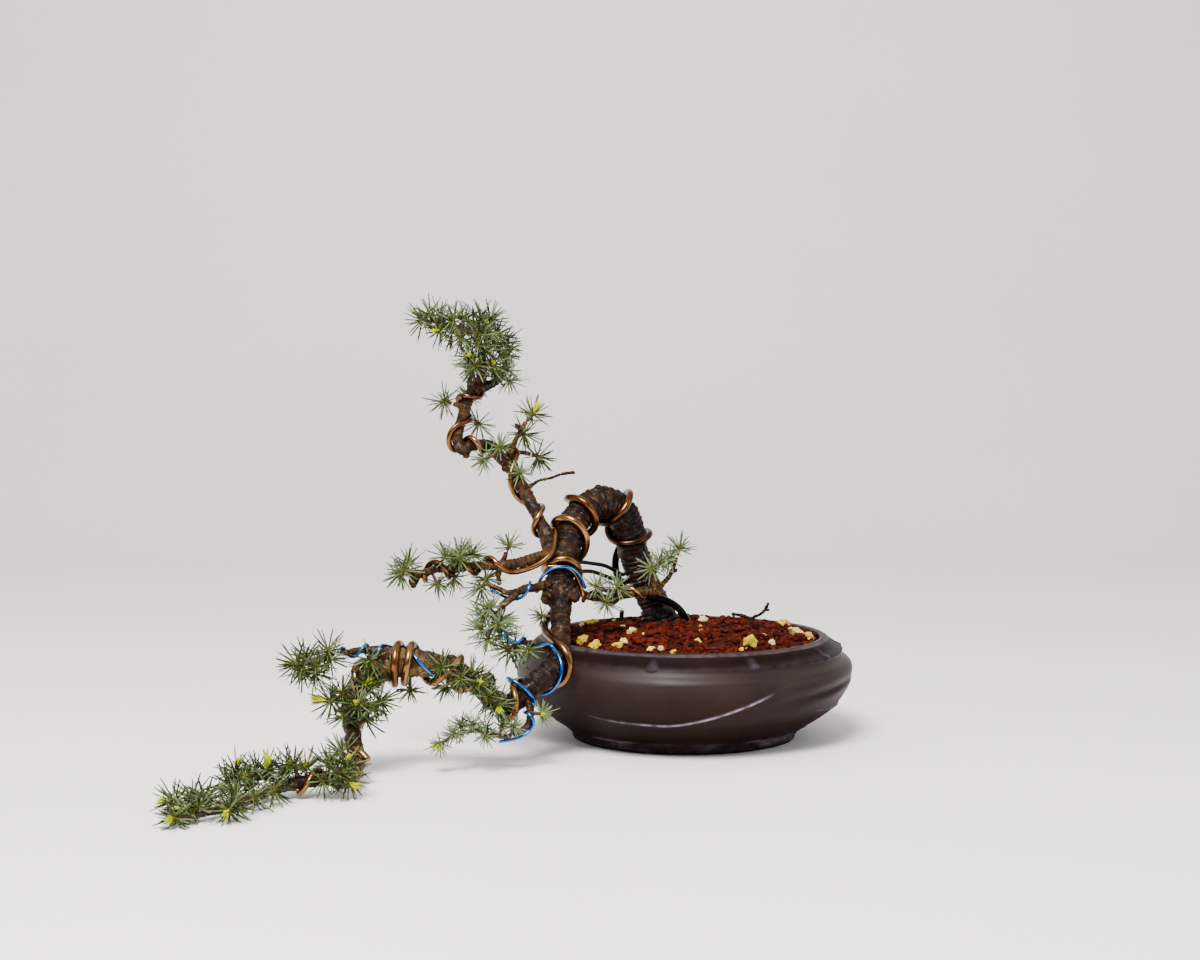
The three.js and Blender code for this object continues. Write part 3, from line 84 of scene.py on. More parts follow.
# Limbs. Each point is x, y, z and the wood's radius there, from root to tip.
LIMBS = {
  "trunk": [
    [-13, 12, 48, 9], [-13, 12, 62, 12.5], [-15, 12, 73, 13.4], [-18, 12, 84, 11.2],
    [-24, 12, 97, 10.2], [-29, 10, 109, 10.2], [-34, 6, 123, 10.5], [-37, 2, 137, 10.8],
    [-42, -4, 150, 11.1], [-52, -10, 158, 11.4], [-62, -17, 157, 11], [-71, -24, 150, 10.6],
    [-76, -31, 140, 9.9], [-79, -38, 127, 9.5], [-82, -46, 113, 9.2], [-83, -53, 103, 11.1],
    [-82, -60, 93, 7.5], [-82, -67, 83, 6.9], [-82, -78, 72, 6.4], [-84, -90, 63, 7.6],
    [-90, -99, 56, 8.2], [-97, -104, 51, 8.2], [-104, -108, 45, 7.2], [-113, -112, 40, 6.6],
    [-122, -115, 42, 6.9], [-130, -118, 50, 6.8], [-138, -121, 57, 6.8], [-146, -124, 62, 6.8],
    [-155, -127, 65, 7.4], [-164, -130, 68, 8.6], [-173, -131, 68, 9.2], [-182, -131, 68, 9.5],
    [-192, -130, 64, 9.2], [-201, -129, 57, 8], [-208, -129, 48, 7.1], [-210, -131, 40, 6.8],
    [-209, -138, 32, 5.8], [-206, -149, 24, 4.9], [-203, -161, 16, 4.5], [-202, -174, 11, 4.2],
    [-205, -186, 10.2, 4.1], [-212, -195, 10, 4.1], [-222, -201, 10, 4.1], [-232, -205, 9.4, 4],
    [-241, -209, 8, 3.8], [-249, -214, 6.2, 3.4], [-254, -224, 5, 3], [-257, -233, 4.8, 2.8],
    [-260, -239, 4.6, 2.6], [-265, -245, 4.4, 2.5], [-270, -255, 4.3, 2.3], [-275, -261, 4.2, 2.2],
  ],
  "crown": [
    [-83, -36, 125, 5.3], [-89, -38, 130, 5.6], [-92, -36, 139, 5.3], [-96, -31, 147, 4.1],
    [-101, -26, 156, 4.4], [-106, -20, 165, 4.7], [-111, -14, 173, 4.4], [-115, -9, 181, 4.4],
    [-121, -6, 186, 4.4], [-126, -6, 191, 4.3], [-131, -9, 196, 4], [-137, -14, 197, 4],
    [-144, -19, 196, 4], [-148, -21, 194, 4.1], [-151, -19, 200, 4], [-151, -14, 207, 3.7],
    [-148, -8, 216, 4], [-146, -4, 225, 4.4], [-143, -3, 231, 4.4], [-138, -5, 237, 4],
    [-135, -8, 243, 3.3], [-135, -10, 251, 2.9], [-135, -11, 257, 2.7], [-137, -12, 264, 2.5],
    [-140, -12, 269, 2.2],
  ],
  "crownLoop": [
    [-137, -4, 235, 3.6], [-130, 0, 237, 3.1], [-125, 5, 240, 2.8], [-122, 10, 244, 2.6],
    [-120, 13, 250, 2.4], [-123, 13, 257, 2.2], [-126, 11, 262, 2],
  ],
  "crownRight": [
    [-118, -6, 185, 2.7], [-116, -8, 192, 2.1], [-114, -10, 197, 1.8], [-112, -12, 202, 1.7],
    [-109, -14, 207, 1.6], [-106, -16, 212, 1.5],
  ],
  "crownOut": [[-118, -6, 189, 2.7], [-113, -3, 191, 2], [-108, 0, 191, 1.7], [-104, 3, 190, 1.6]],
  "crownLeft": [[-148, -6, 221, 2.3], [-151, -10, 223, 1.8], [-154, -12, 224, 1.5]],
  "bareTwig": [
    [-107, -18, 167, 1.8], [-102, -15, 170, 1.4], [-97, -10, 173, 1.2], [-90, -4, 174, 1.1],
    [-84, 2, 176, 1.1], [-78, 6, 177, 1.2], [-74, 8, 177, 1.5],
  ],
  "left": [
    [-84, -42, 127, 3.9], [-92, -50, 127, 3.6], [-101, -57, 125, 3.6], [-110, -63, 123, 3.6],
    [-118, -67, 122, 3.5], [-127, -69, 122, 3.2], [-136, -70, 122, 3.1], [-145, -72, 121, 3],
    [-153, -75, 120, 2.9], [-161, -79, 121, 2.7], [-167, -83, 119, 2.9], [-173, -86, 118, 3.2],
    [-176, -88, 119, 2.8],
  ],
  "leftUpright": [[-120, -67, 122, 1.9], [-118, -66, 127, 1.6], [-117, -65, 130, 1.4]],
  "leftSpur": [[-121, -68, 122, 2.1], [-122, -69, 115, 1.8], [-121, -70, 110, 1.5]],
  "leftKnob": [[-174, -87, 118, 2.4], [-175, -88, 113, 2.8], [-175, -88, 110, 1.7]],
  "side": [
    [-85, -50, 109, 3.9], [-92, -58, 108, 3.4], [-99, -63, 107, 3], [-104, -67, 107, 2.9],
    [-109, -70, 105, 2.7], [-114, -73, 101, 2.6], [-118, -76, 98, 2.4], [-121, -78, 95, 2.2],
  ],
  "sideLeft": [[-109, -70, 105, 2], [-116, -73, 105, 1.8], [-122, -75, 108, 1.7], [-127, -76, 110, 1.6]],
  "lower": [
    [-85, -84, 69, 2.6], [-92, -90, 73, 2.2], [-98, -93, 75, 1.9], [-103, -95, 76, 1.8],
    [-108, -96, 76, 1.8],
  ],
  "right": [
    [-81, -46, 110, 3.3], [-75, -47, 106, 3], [-68, -45, 101, 2.8], [-61, -41, 98, 2.7],
    [-54, -36, 97, 2.6], [-46, -31, 97, 2.6], [-38, -25, 98, 2.8], [-31, -20, 99, 3.3],
    [-24, -16, 99, 3.5], [-18, -13, 99, 2.5],
  ],
  "rightUpright": [[-20, -14, 98, 2.6], [-20, -15, 105, 2.1], [-20, -16, 110, 1.8]],
  "rightOuter": [
    [-20, -14, 98, 2.6], [-14, -9, 104, 1.9], [-10, -6, 108, 1.7], [-7, -3, 114, 1.6],
    [-5, -1, 120, 1.4],
  ],
  "low": [
    [-103, -108, 45, 3.4], [-101, -113, 40, 2.8], [-100, -117, 35, 2.5], [-101, -121, 29, 2.2],
    [-105, -124, 25, 2], [-110, -126, 23, 1.8],
  ],
  "upper": [
    [-187, -132, 72, 5], [-192, -134, 76, 3.4], [-198, -136, 77, 2.6], [-205, -138, 77, 2.3],
    [-211, -139, 76, 2.2], [-217, -140, 76, 2],
  ],
}

# Cut stubs and knobs, each from inside the limb to its end.
STUBS = [
  [[-57, -14, 162, 3], [-58, -14, 170, 2.2]],
  [[-115, -9, 180, 3], [-122, -9, 181, 1.6]],
  [[-146, -20, 194, 3], [-145, -21, 189, 1.8]],
  [[-109, -14, 206, 1.4], [-113, -13, 211, 1.1]],
  [[-149, -125, 64, 4], [-148, -126, 72, 3]],
  [[-78, -57, 104, 4], [-71, -60, 99, 3.4]],
  [[-88, -56, 103, 5], [-93, -58, 97, 3.4]],
  [[-115, -113, 40, 4], [-118, -116, 31, 1.2]],
  [[-8, -4, 112, 1.4], [-5, -6, 112, 1.1]],
]

# Foliage sprays: the points of a spray's own core, the limb that carries it, the points its
# needles radiate from, and its pale new shoots, each from a tuft to its tip.
SPRAYS = {
  "crown_tip": {
    "core": [[-141.6, -12, 270.6, 2], [-145, -11, 273, 2], [-152, -8, 275, 1.9], [-159, -5, 277, 1.7],
      [-166, -2, 279, 1.5], [-173, 0, 279, 1.2]],
    "tufts": [[-176, 1, 280], [-163, -13, 273], [-164, 4, 283], [-154, -14, 280], [-156, 6, 272],
      [-147, -3, 281], [-149, -19, 268], [-141, -7, 277], [-137, -18, 270],
      [-170, -5, 284]],
    "buds": [[-163, -13, 273, -167, -18, 272]],
  },
  "crown_loop": {
    "core": [[-126.6, 10.5, 264, 1.8], [-129, 8, 268, 1.7], [-132, 5, 272, 1.5], [-134, 2, 276, 1.2]],
    "tufts": [[-137, 0, 282], [-130, 7, 280], [-125, 2, 271], [-121, 9, 265], [-131, -3, 272]],
    "buds": [[-134, 2, 277, -132, -4, 279]],
  },
  "crown_front": {
    "carrier": "crown",
    "core": [[-138, -15, 256, 1.3], [-142, -18, 255, 1.1]],
    "tufts": [[-144, -19, 256], [-139, -21, 249], [-131, -15, 260], [-137, -20, 263]],
    "buds": [[-144, -19, 256, -143, -25, 257]],
  },
  "crown_loop_top": { "carrier": "crownLoop", "tufts": [[-118, 16, 261], [-119, 3, 256]] },
  "crown_loop_low": { "carrier": "crownLoop", "tufts": [[-117, 7, 239], [-119, 1, 247], [-126, -3, 243]] },
  "crown_middle": {
    "carrier": "crown", "tufts": [[-128, -13, 250]], "buds": [[-128, -13, 250, -127, -18, 252]],
  },
  "crown_right": {
    "core": [[-105, -16.7, 213.2, 1.4], [-102, -18, 216, 1.2]],
    "tufts": [[-101, -18, 218]],
    "buds": [[-101, -18, 218, -97, -20, 225]],
  },
  "crown_right_low": { "carrier": "crownRight", "tufts": [[-107, -8, 204]] },
  "crown_out": { "core": [[-102.2, 3.8, 189.6, 1.4], [-99, 6, 188, 1.2]], "tufts": [[-98, 7, 188]] },
  "crown_left": { "core": [[-155.6, -13, 224.6, 1.3], [-159, -15, 226, 1.2]], "tufts": [[-161, -16, 226]] },
  "crown_behind": {
    "carrier": "crown",
    "core": [[-144, 3, 229, 1.3], [-145, 4, 237, 1.3], [-143, 1, 245, 1.1]],
    "tufts": [[-142, -2, 248], [-146, 7, 228], [-139, 7, 238], [-138, 7, 210]],
  },
  "crown_fork": {
    "carrier": "crown",
    "core": [[-124, -16, 192, 1.3], [-128, -18, 190, 1.2], [-132, -18, 188, 1.1]],
    "tufts": [[-134, -18, 188], [-123, -18, 196]],
  },
  "crown_fork_front": { "carrier": "crown", "tufts": [[-110, -20, 179]] },
  "left_tip": {
    "core": [[-178, -90, 119, 2], [-181, -92, 120, 1.6]],
    "tufts": [[-178, -88, 126], [-184, -93, 119], [-180, -98, 122]],
  },
  "left_tip_under": { "carrier": "left", "tufts": [[-160, -82, 111]] },
  "left_top": {
    "carrier": "left",
    "core": [[-151, -78, 127, 1.5], [-147, -79, 129, 1.4], [-142, -79, 130, 1.2]],
    "tufts": [[-155, -80, 129], [-147, -71, 131], [-138, -79, 130], [-146, -85, 128]],
  },
  "left_under": { "carrier": "left", "tufts": [[-150, -73, 114]] },
  "left_upright": {
    "core": [[-116.6, -64.8, 131.8, 1.3], [-115, -64, 134, 1.2]], "tufts": [[-115, -64, 135]],
  },
  "side_left": {
    "core": [[-128.6, -76.4, 111, 1.5], [-131, -77, 111, 1.4]],
    "tufts": [[-133, -79, 109], [-130, -70, 114]],
  },
  "side_hanging": {
    "core": [[-122, -79, 93, 1.9], [-124, -81, 89, 1.7], [-125, -83, 84, 1.5], [-127, -85, 80, 1.3]],
    "tufts": [[-128, -84, 97], [-131, -76, 91], [-119, -74, 88], [-121, -91, 87], [-133, -83, 83],
      [-128, -87, 76], [-118, -84, 80]],
  },
  "lower_twig": {
    "core": [[-109.6, -96.4, 75.4, 1.5], [-111, -97, 74, 1.4], [-113, -98, 73, 1.2]],
    "tufts": [[-115, -99, 72], [-110, -92, 71]],
  },
  "lower_hanging": { "carrier": "lower", "tufts": [[-102, -98, 71]] },
  "trunk_side": { "carrier": "trunk", "tufts": [[-95, -65, 89]] },
  "right_middle": {
    "carrier": "right",
    "core": [[-45, -34, 102, 1.5], [-50, -39, 102, 1.4], [-57, -43, 104, 1.2]],
    "tufts": [[-60, -44, 106], [-52, -47, 95], [-45, -37, 105]],
  },
  "right_upright": {
    "core": [[-20, -16, 111.8, 1.6], [-19.6, -16, 115, 1.3]],
    "tufts": [[-23, -19, 115], [-16, -14, 119]],
  },
  "right_outer": { "core": [[-4.4, -1, 122, 1.3], [-3, 0, 126, 1.1]], "tufts": [[-3, 0, 127]] },
  "right_outer_low": { "carrier": "rightOuter", "tufts": [[-10, -9, 120]] },
  "low_twig": {
    "core": [[-112, -127, 22, 1.7], [-117, -128, 22, 1.6], [-125, -129, 24, 1.5], [-133, -130, 26, 1.4],
      [-142, -131, 25, 1.4], [-149, -132, 22, 1.2], [-154, -133, 19, 1.1]],
    "tufts": [[-156, -134, 18], [-110, -130, 29], [-117, -130, 30], [-127, -123, 27], [-127, -137, 24],
      [-135, -132, 31], [-143, -125, 29], [-146, -138, 26]],
    "buds": [[-154, -133, 19, -157, -139, 16]],
  },
  "low_right": {
    "carrier": "low",
    "core": [[-97, -119, 35, 1.3], [-94, -121, 35, 1.2]],
    "tufts": [[-92, -122, 35]],
    "buds": [[-92, -122, 35, -92, -128, 36]],
  },
  "middle_front": {
    "carrier": "trunk",
    "core": [[-143, -133, 62, 1.5], [-136, -136, 59, 1.5], [-130, -137, 55, 1.4], [-125, -135, 49, 1.3],
      [-121, -132, 44, 1.2]],
    "tufts": [[-142, -142, 60], [-135, -131, 61], [-130, -143, 58], [-125, -142, 49], [-119, -136, 43]],
    "buds": [[-130, -143, 58, -129, -148, 60], [-119, -136, 43, -118, -143, 40]],
  },
  "middle_top": { "carrier": "trunk", "tufts": [[-153, -139, 67]] },
  "middle_hanging": { "carrier": "trunk", "tufts": [[-152, -125, 52]] },
  "arch_hanging": { "carrier": "trunk", "tufts": [[-174, -127, 50]] },
  "upper_left": {
    "core": [[-219, -140.4, 75.8, 1.8], [-222, -141, 75, 1.7], [-228, -142, 73, 1.6], [-232, -143, 71, 1.5],
      [-236, -144, 70, 1.4], [-239, -145, 70, 1.2]],
    "tufts": [[-222, -146, 79], [-222, -135, 71], [-229, -149, 69], [-237, -139, 74], [-242, -146, 70],
      [-237, -151, 66], [-231, -140, 63]],
    "buds": [[-242, -146, 70, -249, -146, 71]],
  },
  "upper_back": { "carrier": "upper", "tufts": [[-197, -142, 71]] },
  "knee_left": {
    "carrier": "trunk",
    "core": [[-212, -139, 45, 1.4], [-215, -142, 46, 1.3], [-219, -145, 47, 1.2]],
    "tufts": [[-221, -147, 47], [-213, -149, 53], [-213, -149, 39]],
    "buds": [[-221, -147, 47, -232, -147, 48]],
  },
  "knee_right": {
    "carrier": "trunk",
    "core": [[-205, -141, 45, 1.4], [-202, -145, 46, 1.4], [-197, -148, 46, 1.2]],
    "tufts": [[-203, -153, 47], [-196, -150, 44], [-200, -142, 56], [-190, -142, 47], [-199, -146, 37]],
    "buds": [[-203, -153, 47, -204, -159, 49], [-200, -142, 56, -196, -144, 61]],
  },
  "limb_front": { "carrier": "trunk", "tufts": [[-212, -168, 20]] },
  "ball": {
    "carrier": "trunk",
    "core": [[-209, -198, 15, 1.4], [-209, -202, 16, 1.3], [-209, -206, 16, 1.2]],
    "tufts": [[-209, -210, 16], [-215, -205, 20], [-203, -203, 20], [-217, -209, 11], [-202, -209, 11]],
    "buds": [[-203, -203, 20, -202, -206, 26], [-202, -209, 11, -196, -213, 8]],
  },
  "near_right": {
    "carrier": "trunk",
    "core": [[-233, -205, 14, 1.4], [-234, -206, 18, 1.2]],
    "tufts": [[-236, -208, 20], [-229, -201, 17], [-241, -200, 16]],
    "buds": [[-229, -201, 17, -227, -204, 22]],
  },
  "near_left": {
    "core": [[-246, -205, 10.6, 1.5], [-253, -205, 12, 1.5], [-260, -208, 12, 1.4], [-268, -210, 12, 1.2]],
    "carrier": "trunk",
    "tufts": [[-250, -210, 18], [-257, -202, 15], [-262, -213, 15], [-269, -206, 17], [-273, -214, 11],
      [-259, -217, 9]],
    "buds": [[-250, -210, 18, -249, -214, 28], [-269, -206, 17, -267, -206, 24],
      [-273, -214, 11, -276, -219, 8]],
  },
  "tail_right": { "carrier": "trunk", "tufts": [[-243, -225, 9]] },
  "tail_left": { "carrier": "trunk", "tufts": [[-266, -231, 9]] },
  "tail_middle": { "carrier": "trunk", "tufts": [[-251, -241, 9]] },
  "tail_side": {
    "carrier": "trunk",
    "core": [[-271, -245, 6, 1.4], [-278, -245, 6, 1.4], [-286, -244, 6, 1.3], [-295, -244, 6, 1.1]],
    "tufts": [[-279, -248, 10], [-287, -240, 9], [-298, -244, 7]],
    "buds": [[-298, -244, 7, -306, -245, 7]],
  },
  "tail_front": {
    "carrier": "trunk",
    "core": [[-266, -259, 5.5, 1.3], [-263, -265, 6, 1.1]],
    "tufts": [[-262, -268, 7], [-260, -260, 9]],
    "buds": [[-262, -268, 7, -263, -276, 6]],
  },
  "tail_tip": {
    "core": [[-277, -263, 4, 2], [-281, -268, 4, 1.8], [-286, -273, 4, 1.5], [-289, -279, 4, 1.2]],
    "tufts": [[-279, -268, 9], [-286, -270, 8], [-290, -281, 6]],
    "buds": [[-290, -281, 6, -292, -289, 6], [-286, -270, 8, -292, -272, 9]],
  },
}

# A coil's stations are the place along its limb, counted in the limb's points, the angle
# round the limb and how far the wire stands off the bark. Angle 0 faces the viewer.
TRUNK_COIL = [
  [3.75, 0, 0], [4.25, -55, 3], [4.8, -88, 4.4], [5.6, -96, 4.4], [6.2, -130, 1], [6.5, -180, 0],
  [6.85, -270, 0.8], [6.75, -360, 0], [7.2, -450, 3.4], [7.9, -540, 0], [8.5, -630, 1],
  [8.5, -720, 0], [9.0, -815, 0], [9.8, -900, 0], [10.9, -990, 3.6], [10.5, -1080, 0],
  [11.2, -1170, 0], [11.7, -1260, 0], [12.0, -1350, 4], [11.6, -1440, 0], [12.6, -1530, 0.4],
  [13.3, -1620, 0], [14.05, -1700, 2.4], [13.3, -1790, 1], [13.85, -1885, 0.6], [14.9, -1980, 0],
  [17.2, -2070, 3], [18.7, -2160, 0], [19.6, -2250, 0], [20.5, -2340, 0], [22.3, -2430, 2.6],
  [22.7, -2520, 0], [23.2, -2610, 0], [24.1, -2700, 0], [25.4, -2790, 1.4], [25.9, -2880, 0],
  [26.4, -2970, 0], [26.9, -3060, 0], [27.3, -3150, 0], [27.9, -3240, 0], [28.6, -3330, 0],
  [29.2, -3420, 0], [30.0, -3510, 2.4], [30.15, -3600, 2.2], [30.45, -3690, 0], [30.5, -3780, 0],
  [30.8, -3870, 2.2], [30.9, -3960, 0.6], [31.7, -4050, 0], [32.1, -4140, 0], [32.7, -4230, 0.8],
  [33.5, -4320, 0], [34.6, -4410, 0], [35.7, -4500, 0], [37.0, -4590, 0.6], [38.0, -4680, 0],
  [38.7, -4750, 0],
]
CROWN_COIL = [
  [1.1, 20, 0.8], [1.45, 90, 1.6], [2.0, 180, 0.4], [2.3, 270, 0], [3.0, 360, 0], [3.8, 450, 1],
  [4.4, 540, 0], [5.1, 630, 0.6], [6.0, 650, 0.6], [6.6, 720, 0], [7.4, 795, 0], [8.4, 825, 0],
  [9.4, 905, 0], [10.6, 990, 0], [11.5, 1080, 0], [12.2, 1170, 0], [12.7, 1260, 0],
  [13.3, 1350, 0.4], [14.1, 1365, 1], [14.7, 1385, 0.6], [15.3, 1440, 0], [15.9, 1530, 0],
  [16.6, 1620, 0], [17.3, 1710, 0.4], [17.7, 1800, 0], [18.1, 1890, 0.4], [18.5, 1930, 0.2],
]
LEFT_COIL = [
  [10.6, 1080, 0], [10.3, 990, 0.4], [9.9, 900, 0], [9.1, 812, 2.6], [8.4, 720, 0], [8.0, 630, 0],
  [7.6, 540, 0], [7.2, 450, 0], [6.7, 360, 0], [6.2, 270, 0], [5.6, 180, 0], [5.1, 90, 0.6],
  [4.7, 0, 0], [4.1, -60, 0], [3, -80, 0], [2, -60, 0], [1.2, -30, 1],
]
RIGHT_ANCHOR = [[13.9, 50, 2.8], [13.75, 0, 0], [14.0, -75, 0.4]]
RIGHT_COIL = [
  [1.3, -80, 0.5], [1.9, 0, 0], [2.4, 90, 0], [2.8, 180, 0], [3.2, 270, 0], [3.6, 360, 0],
  [4.2, 450, 0.4], [5.2, 470, 1.4], [5.8, 540, 0], [6.1, 630, 0], [6.5, 720, 0], [7.3, 805, 2.2],
  [8.1, 880, 1], [8.5, 930, 0],
]
LOW_COIL = [
  [39.5, 450, 0.2], [40.0, 360, 0], [40.5, 270, 0], [41.2, 180, 0], [42.1, 90, 0.4], [42.6, 0, 0],
  [43.2, -80, 0],
]
BLUE_ACROSS = [
  [14.6, -95, 4.4], [14.1, -60, 4.2], [13.9, -15, 4.4], [14.1, 20, 4.4], [14.4, 48, 4.6],
  [14.75, 66, 3],
]
BLUE_SIDE = [[1.5, -80, 0.8], [2.0, -180, 0], [2.5, -270, 0], [3.0, -345, 0], [3.6, -420, 0.6]]
BLUE_SIDE_LEFT = [[0.9, -90, 0], [1.5, -90, 0], [2.2, -70, 0], [2.8, -40, 0]]
BLUE_LOWER = [[3.9, -30, 0.4], [3.3, 60, 0], [2.9, 180, 0], [2.5, 290, 0], [2.0, 350, 0.4]]
BLUE_TRUNK = [
  [18.5, 55, 0.3], [19.3, 0, 0.3], [20.2, -70, 0], [20.9, -115, 0], [21.5, -180, 0],
  [22.3, -262, 7.8], [22.2, -310, 6.4], [21.9, -360, 0.2], [22.0, -425, 0],
]
BLUE_LOW = [
  [1.5, -180, 0], [1.9, -270, 0], [2.3, -360, 0], [2.7, -440, 0], [3.4, -450, 0], [4.2, -450, 0],
  [4.9, -440, 0],
]
BLUE_ARCH = [
  [28.4, -30, 0], [29.1, -8, 0], [29.6, 16, 0], [30.1, 50, 0], [30.6, 90, 0], [31.0, 130, 0],
]
BLUE_UPPER = [
  [1.0, 110, 0.6], [1.25, 60, 0.8], [1.4, 0, 0.4], [1.65, -90, 0], [1.85, -180, 0], [2.05, -270, 0],
  [2.9, -360, 0], [3.7, -450, 0], [4.2, -540, 0], [4.6, -630, 0], [4.9, -720, 0],
]

TIE_NEAR_END = [[5.2, -150, 0], [5.15, -120, 0], [5.1, -92, 0.6]]
TIE_BEND = [[13.15, -110, 0], [13.2, -150, 0], [13.35, -185, 0], [13.55, -150, 0], [13.6, -110, 0]]
TIE_FAR_END = [[4.7, -92, 0.6], [4.65, -120, 0], [4.6, -150, 0]]

# Each pale stone's place, its width and how cream it is, from yellow at 0 to cream at 1.
PUMICE = [
  [14, -1, 9, 1], [10, -36, 5.5, 0.9], [7, -61, 5, 0.5], [40, -66, 13, 0.1], [43, -57, 8, 0.9],
  [56, -55, 5, 0.8], [74, -8, 11, 0.6], [70, 30, 10, 0.5], [83, -16, 7, 0.6], [34, -74, 5, 0.2],
  [-18, -80, 6.5, 0.7], [-10, -83, 5, 0.2], [-62, 19, 10, 0.4], [-69, 25, 5, 0.6], [-68, -45, 9, 0.2],
  [-61, -58, 9, 0.2], [-45, -69, 9.5, 0.1], [-41, -58, 6, 0.7], [-35, -34, 9, 0.9], [-41, -13, 5, 0.8],
  [-24, -79, 6, 0.8],
]
DEAD_TWIG = [
  [[47, 12, 62, 1.1], [47, 12, 76, 1.3], [52, 11, 80, 1.1], [55, 10, 82.5, 1.2], [58, 9, 88, 1.1]],
  [[47, 12, 76.5, 1.1], [41, 17, 78.5, 1.3], [34, 22, 79, 1.1]],
  [[55.5, 10, 83, 0.9], [58.5, 9, 83.5, 0.9]],
]
DEAD_STICK = [[-42, 25, 60, 1.6], [-42, 25, 72, 1.7], [-41.5, 25, 81, 1.5]]


# Colours, materials and random values.
def linear(colour):
    """Turn an sRGB hex colour into the linear values that Blender works in."""
    parts = [((colour >> shift) & 255) / 255 for shift in (16, 8, 0)]
    return [part / 12.92 if part <= 0.04045 else ((part + 0.055) / 1.055) ** 2.4 for part in parts]


def colour_property(name, description, colour):
    """A colour that the user can change."""
    return bpy.props.FloatVectorProperty(
        name=name, description=description, subtype="COLOR", size=3, min=0, max=1, default=linear(colour))


def size_property(name, description, value):
    """A size in millimetres that the user can change."""
    return bpy.props.FloatProperty(name=name + " (mm)", description=description, default=value, min=0)


def node(tree, kind, inputs=None, span=None, stops=None, **settings):
    """Add a shader node with its settings and links.

    An input's value is a number, a colour, an output, or a node, whose first output in use is taken.
    A span holds the range that a Map Range reads and the one it gives. Stops are a ramp's colours.
    """
    added = tree.nodes.new("ShaderNode" + kind)
    for name, value in settings.items():
        setattr(added, name, value)
    values = dict(inputs or {})
    values.update(zip(("From Min", "From Max", "To Min", "To Max"), span or ()))
    for name, value in values.items():
        if isinstance(value, bpy.types.Node):
            value = next(output for output in value.outputs if output.enabled)
        if isinstance(value, bpy.types.NodeSocket):
            tree.links.new(value, added.inputs[name])
        elif hasattr(value, "__len__") and len(value) == 3 and added.inputs[name].type == "RGBA":
            added.inputs[name].default_value = (*value, 1)
        else:
            added.inputs[name].default_value = value
    for i, (place, colour) in enumerate(stops or []):
        elements = added.color_ramp.elements
        stop = elements[i] if i < 2 else elements.new(place)
        stop.position = place
        stop.color = (*colour, 1)
    return added


def new_material(name):
    """An empty material, and the function that adds a node to it."""
    material = bpy.data.materials.new(name)
    material.use_nodes = True
    material.node_tree.nodes.clear()
    return material, functools.partial(node, material.node_tree)


# Large odd numbers that scatter the cells of the grain.
HASH_STEPS = np.array([73856093, 19349663, 83492791])
HASH_SEED = 40503
HASH_MIXERS = (73244475, 40503013)


def grain(places, seed=0):
    """Smooth random values from -1 to 1 that change over about one unit of the places."""
    cell = np.floor(places).astype(np.int64)
    part = places - cell
    part = part * part * (3 - 2 * part)
    total = np.zeros(len(places))
    for corner in np.ndindex(2, 2, 2):
        share = np.where(np.array(corner) == 1, part, 1 - part).prod(axis=1)
        key = (((cell + corner) * HASH_STEPS).sum(axis=1) + seed * HASH_SEED) & 0xFFFFFFFF
        for shift, mixer in zip((15, 13), HASH_MIXERS):
            key = ((key ^ (key >> shift)) * mixer) & 0xFFFFFFFF
        total += share * (key / 2 ** 31 - 1)
    return total


def unit(vectors):
    """The same directions, each one long."""
    return vectors / np.maximum(np.linalg.norm(vectors, axis=-1, keepdims=True), 1e-9)


def bell(offset, width):
    """1 where the offset is 0, falling softly to 0 over about twice the width."""
    return np.exp(-(offset / width) ** 2)


def read(rows, places):
    """Values at places, read off rows of place and value."""
    return np.interp(places, *zip(*rows))


def on_circle(radius, turn, height):
    """Points at radii and turns, in radians, round the pot's middle, at a height."""
    return np.stack([radius * np.cos(turn), radius * np.sin(turn), height], axis=-1)


# Lines and tubes.
def smooth_line(points, places):
    """Values on the Catmull-Rom curve through points, at places counted in the points."""
    points = np.asarray(points, float)
    held = np.vstack([2 * points[0] - points[1], points, 2 * points[-1] - points[-2]])
    index = np.clip(np.floor(places).astype(int), 0, len(points) - 2)
    t = (places - index)[:, None]
    a, b, c, d = (held[index + k] for k in range(4))
    curve = (2 * a - 5 * b + 4 * c - d) * t ** 2 + (3 * b - a - 3 * c + d) * t ** 3
    return 0.5 * (2 * b + (c - a) * t + curve)


def even_places(points, step):
    """Places on the curve that lie about step apart, and how far along it each one is."""
    last = len(points) - 1
    dense = np.linspace(0, last, last * 20 + 1)
    line = smooth_line(points, dense)[:, :3]
    length = np.concatenate([[0], np.cumsum(np.linalg.norm(np.diff(line, axis=0), axis=1))])
    count = max(2, int(round(length[-1] / step)) + 1)
    along = np.linspace(0, length[-1], count)
    return np.interp(along, length, dense), along


def carried_frames(line):
    """Two directions across a line at each of its points, carried along it without a twist."""
    along = unit(np.gradient(line, axis=0))
    across = np.empty_like(line)
    last = np.array([0.0, 1.0, 0.0]) if abs(along[0][1]) < 0.8 else np.array([1.0, 0.0, 0.0])
    for i, direction in enumerate(along):
        last = unit(last - direction * (last @ direction))
        across[i] = last
    return across, np.cross(along, across)


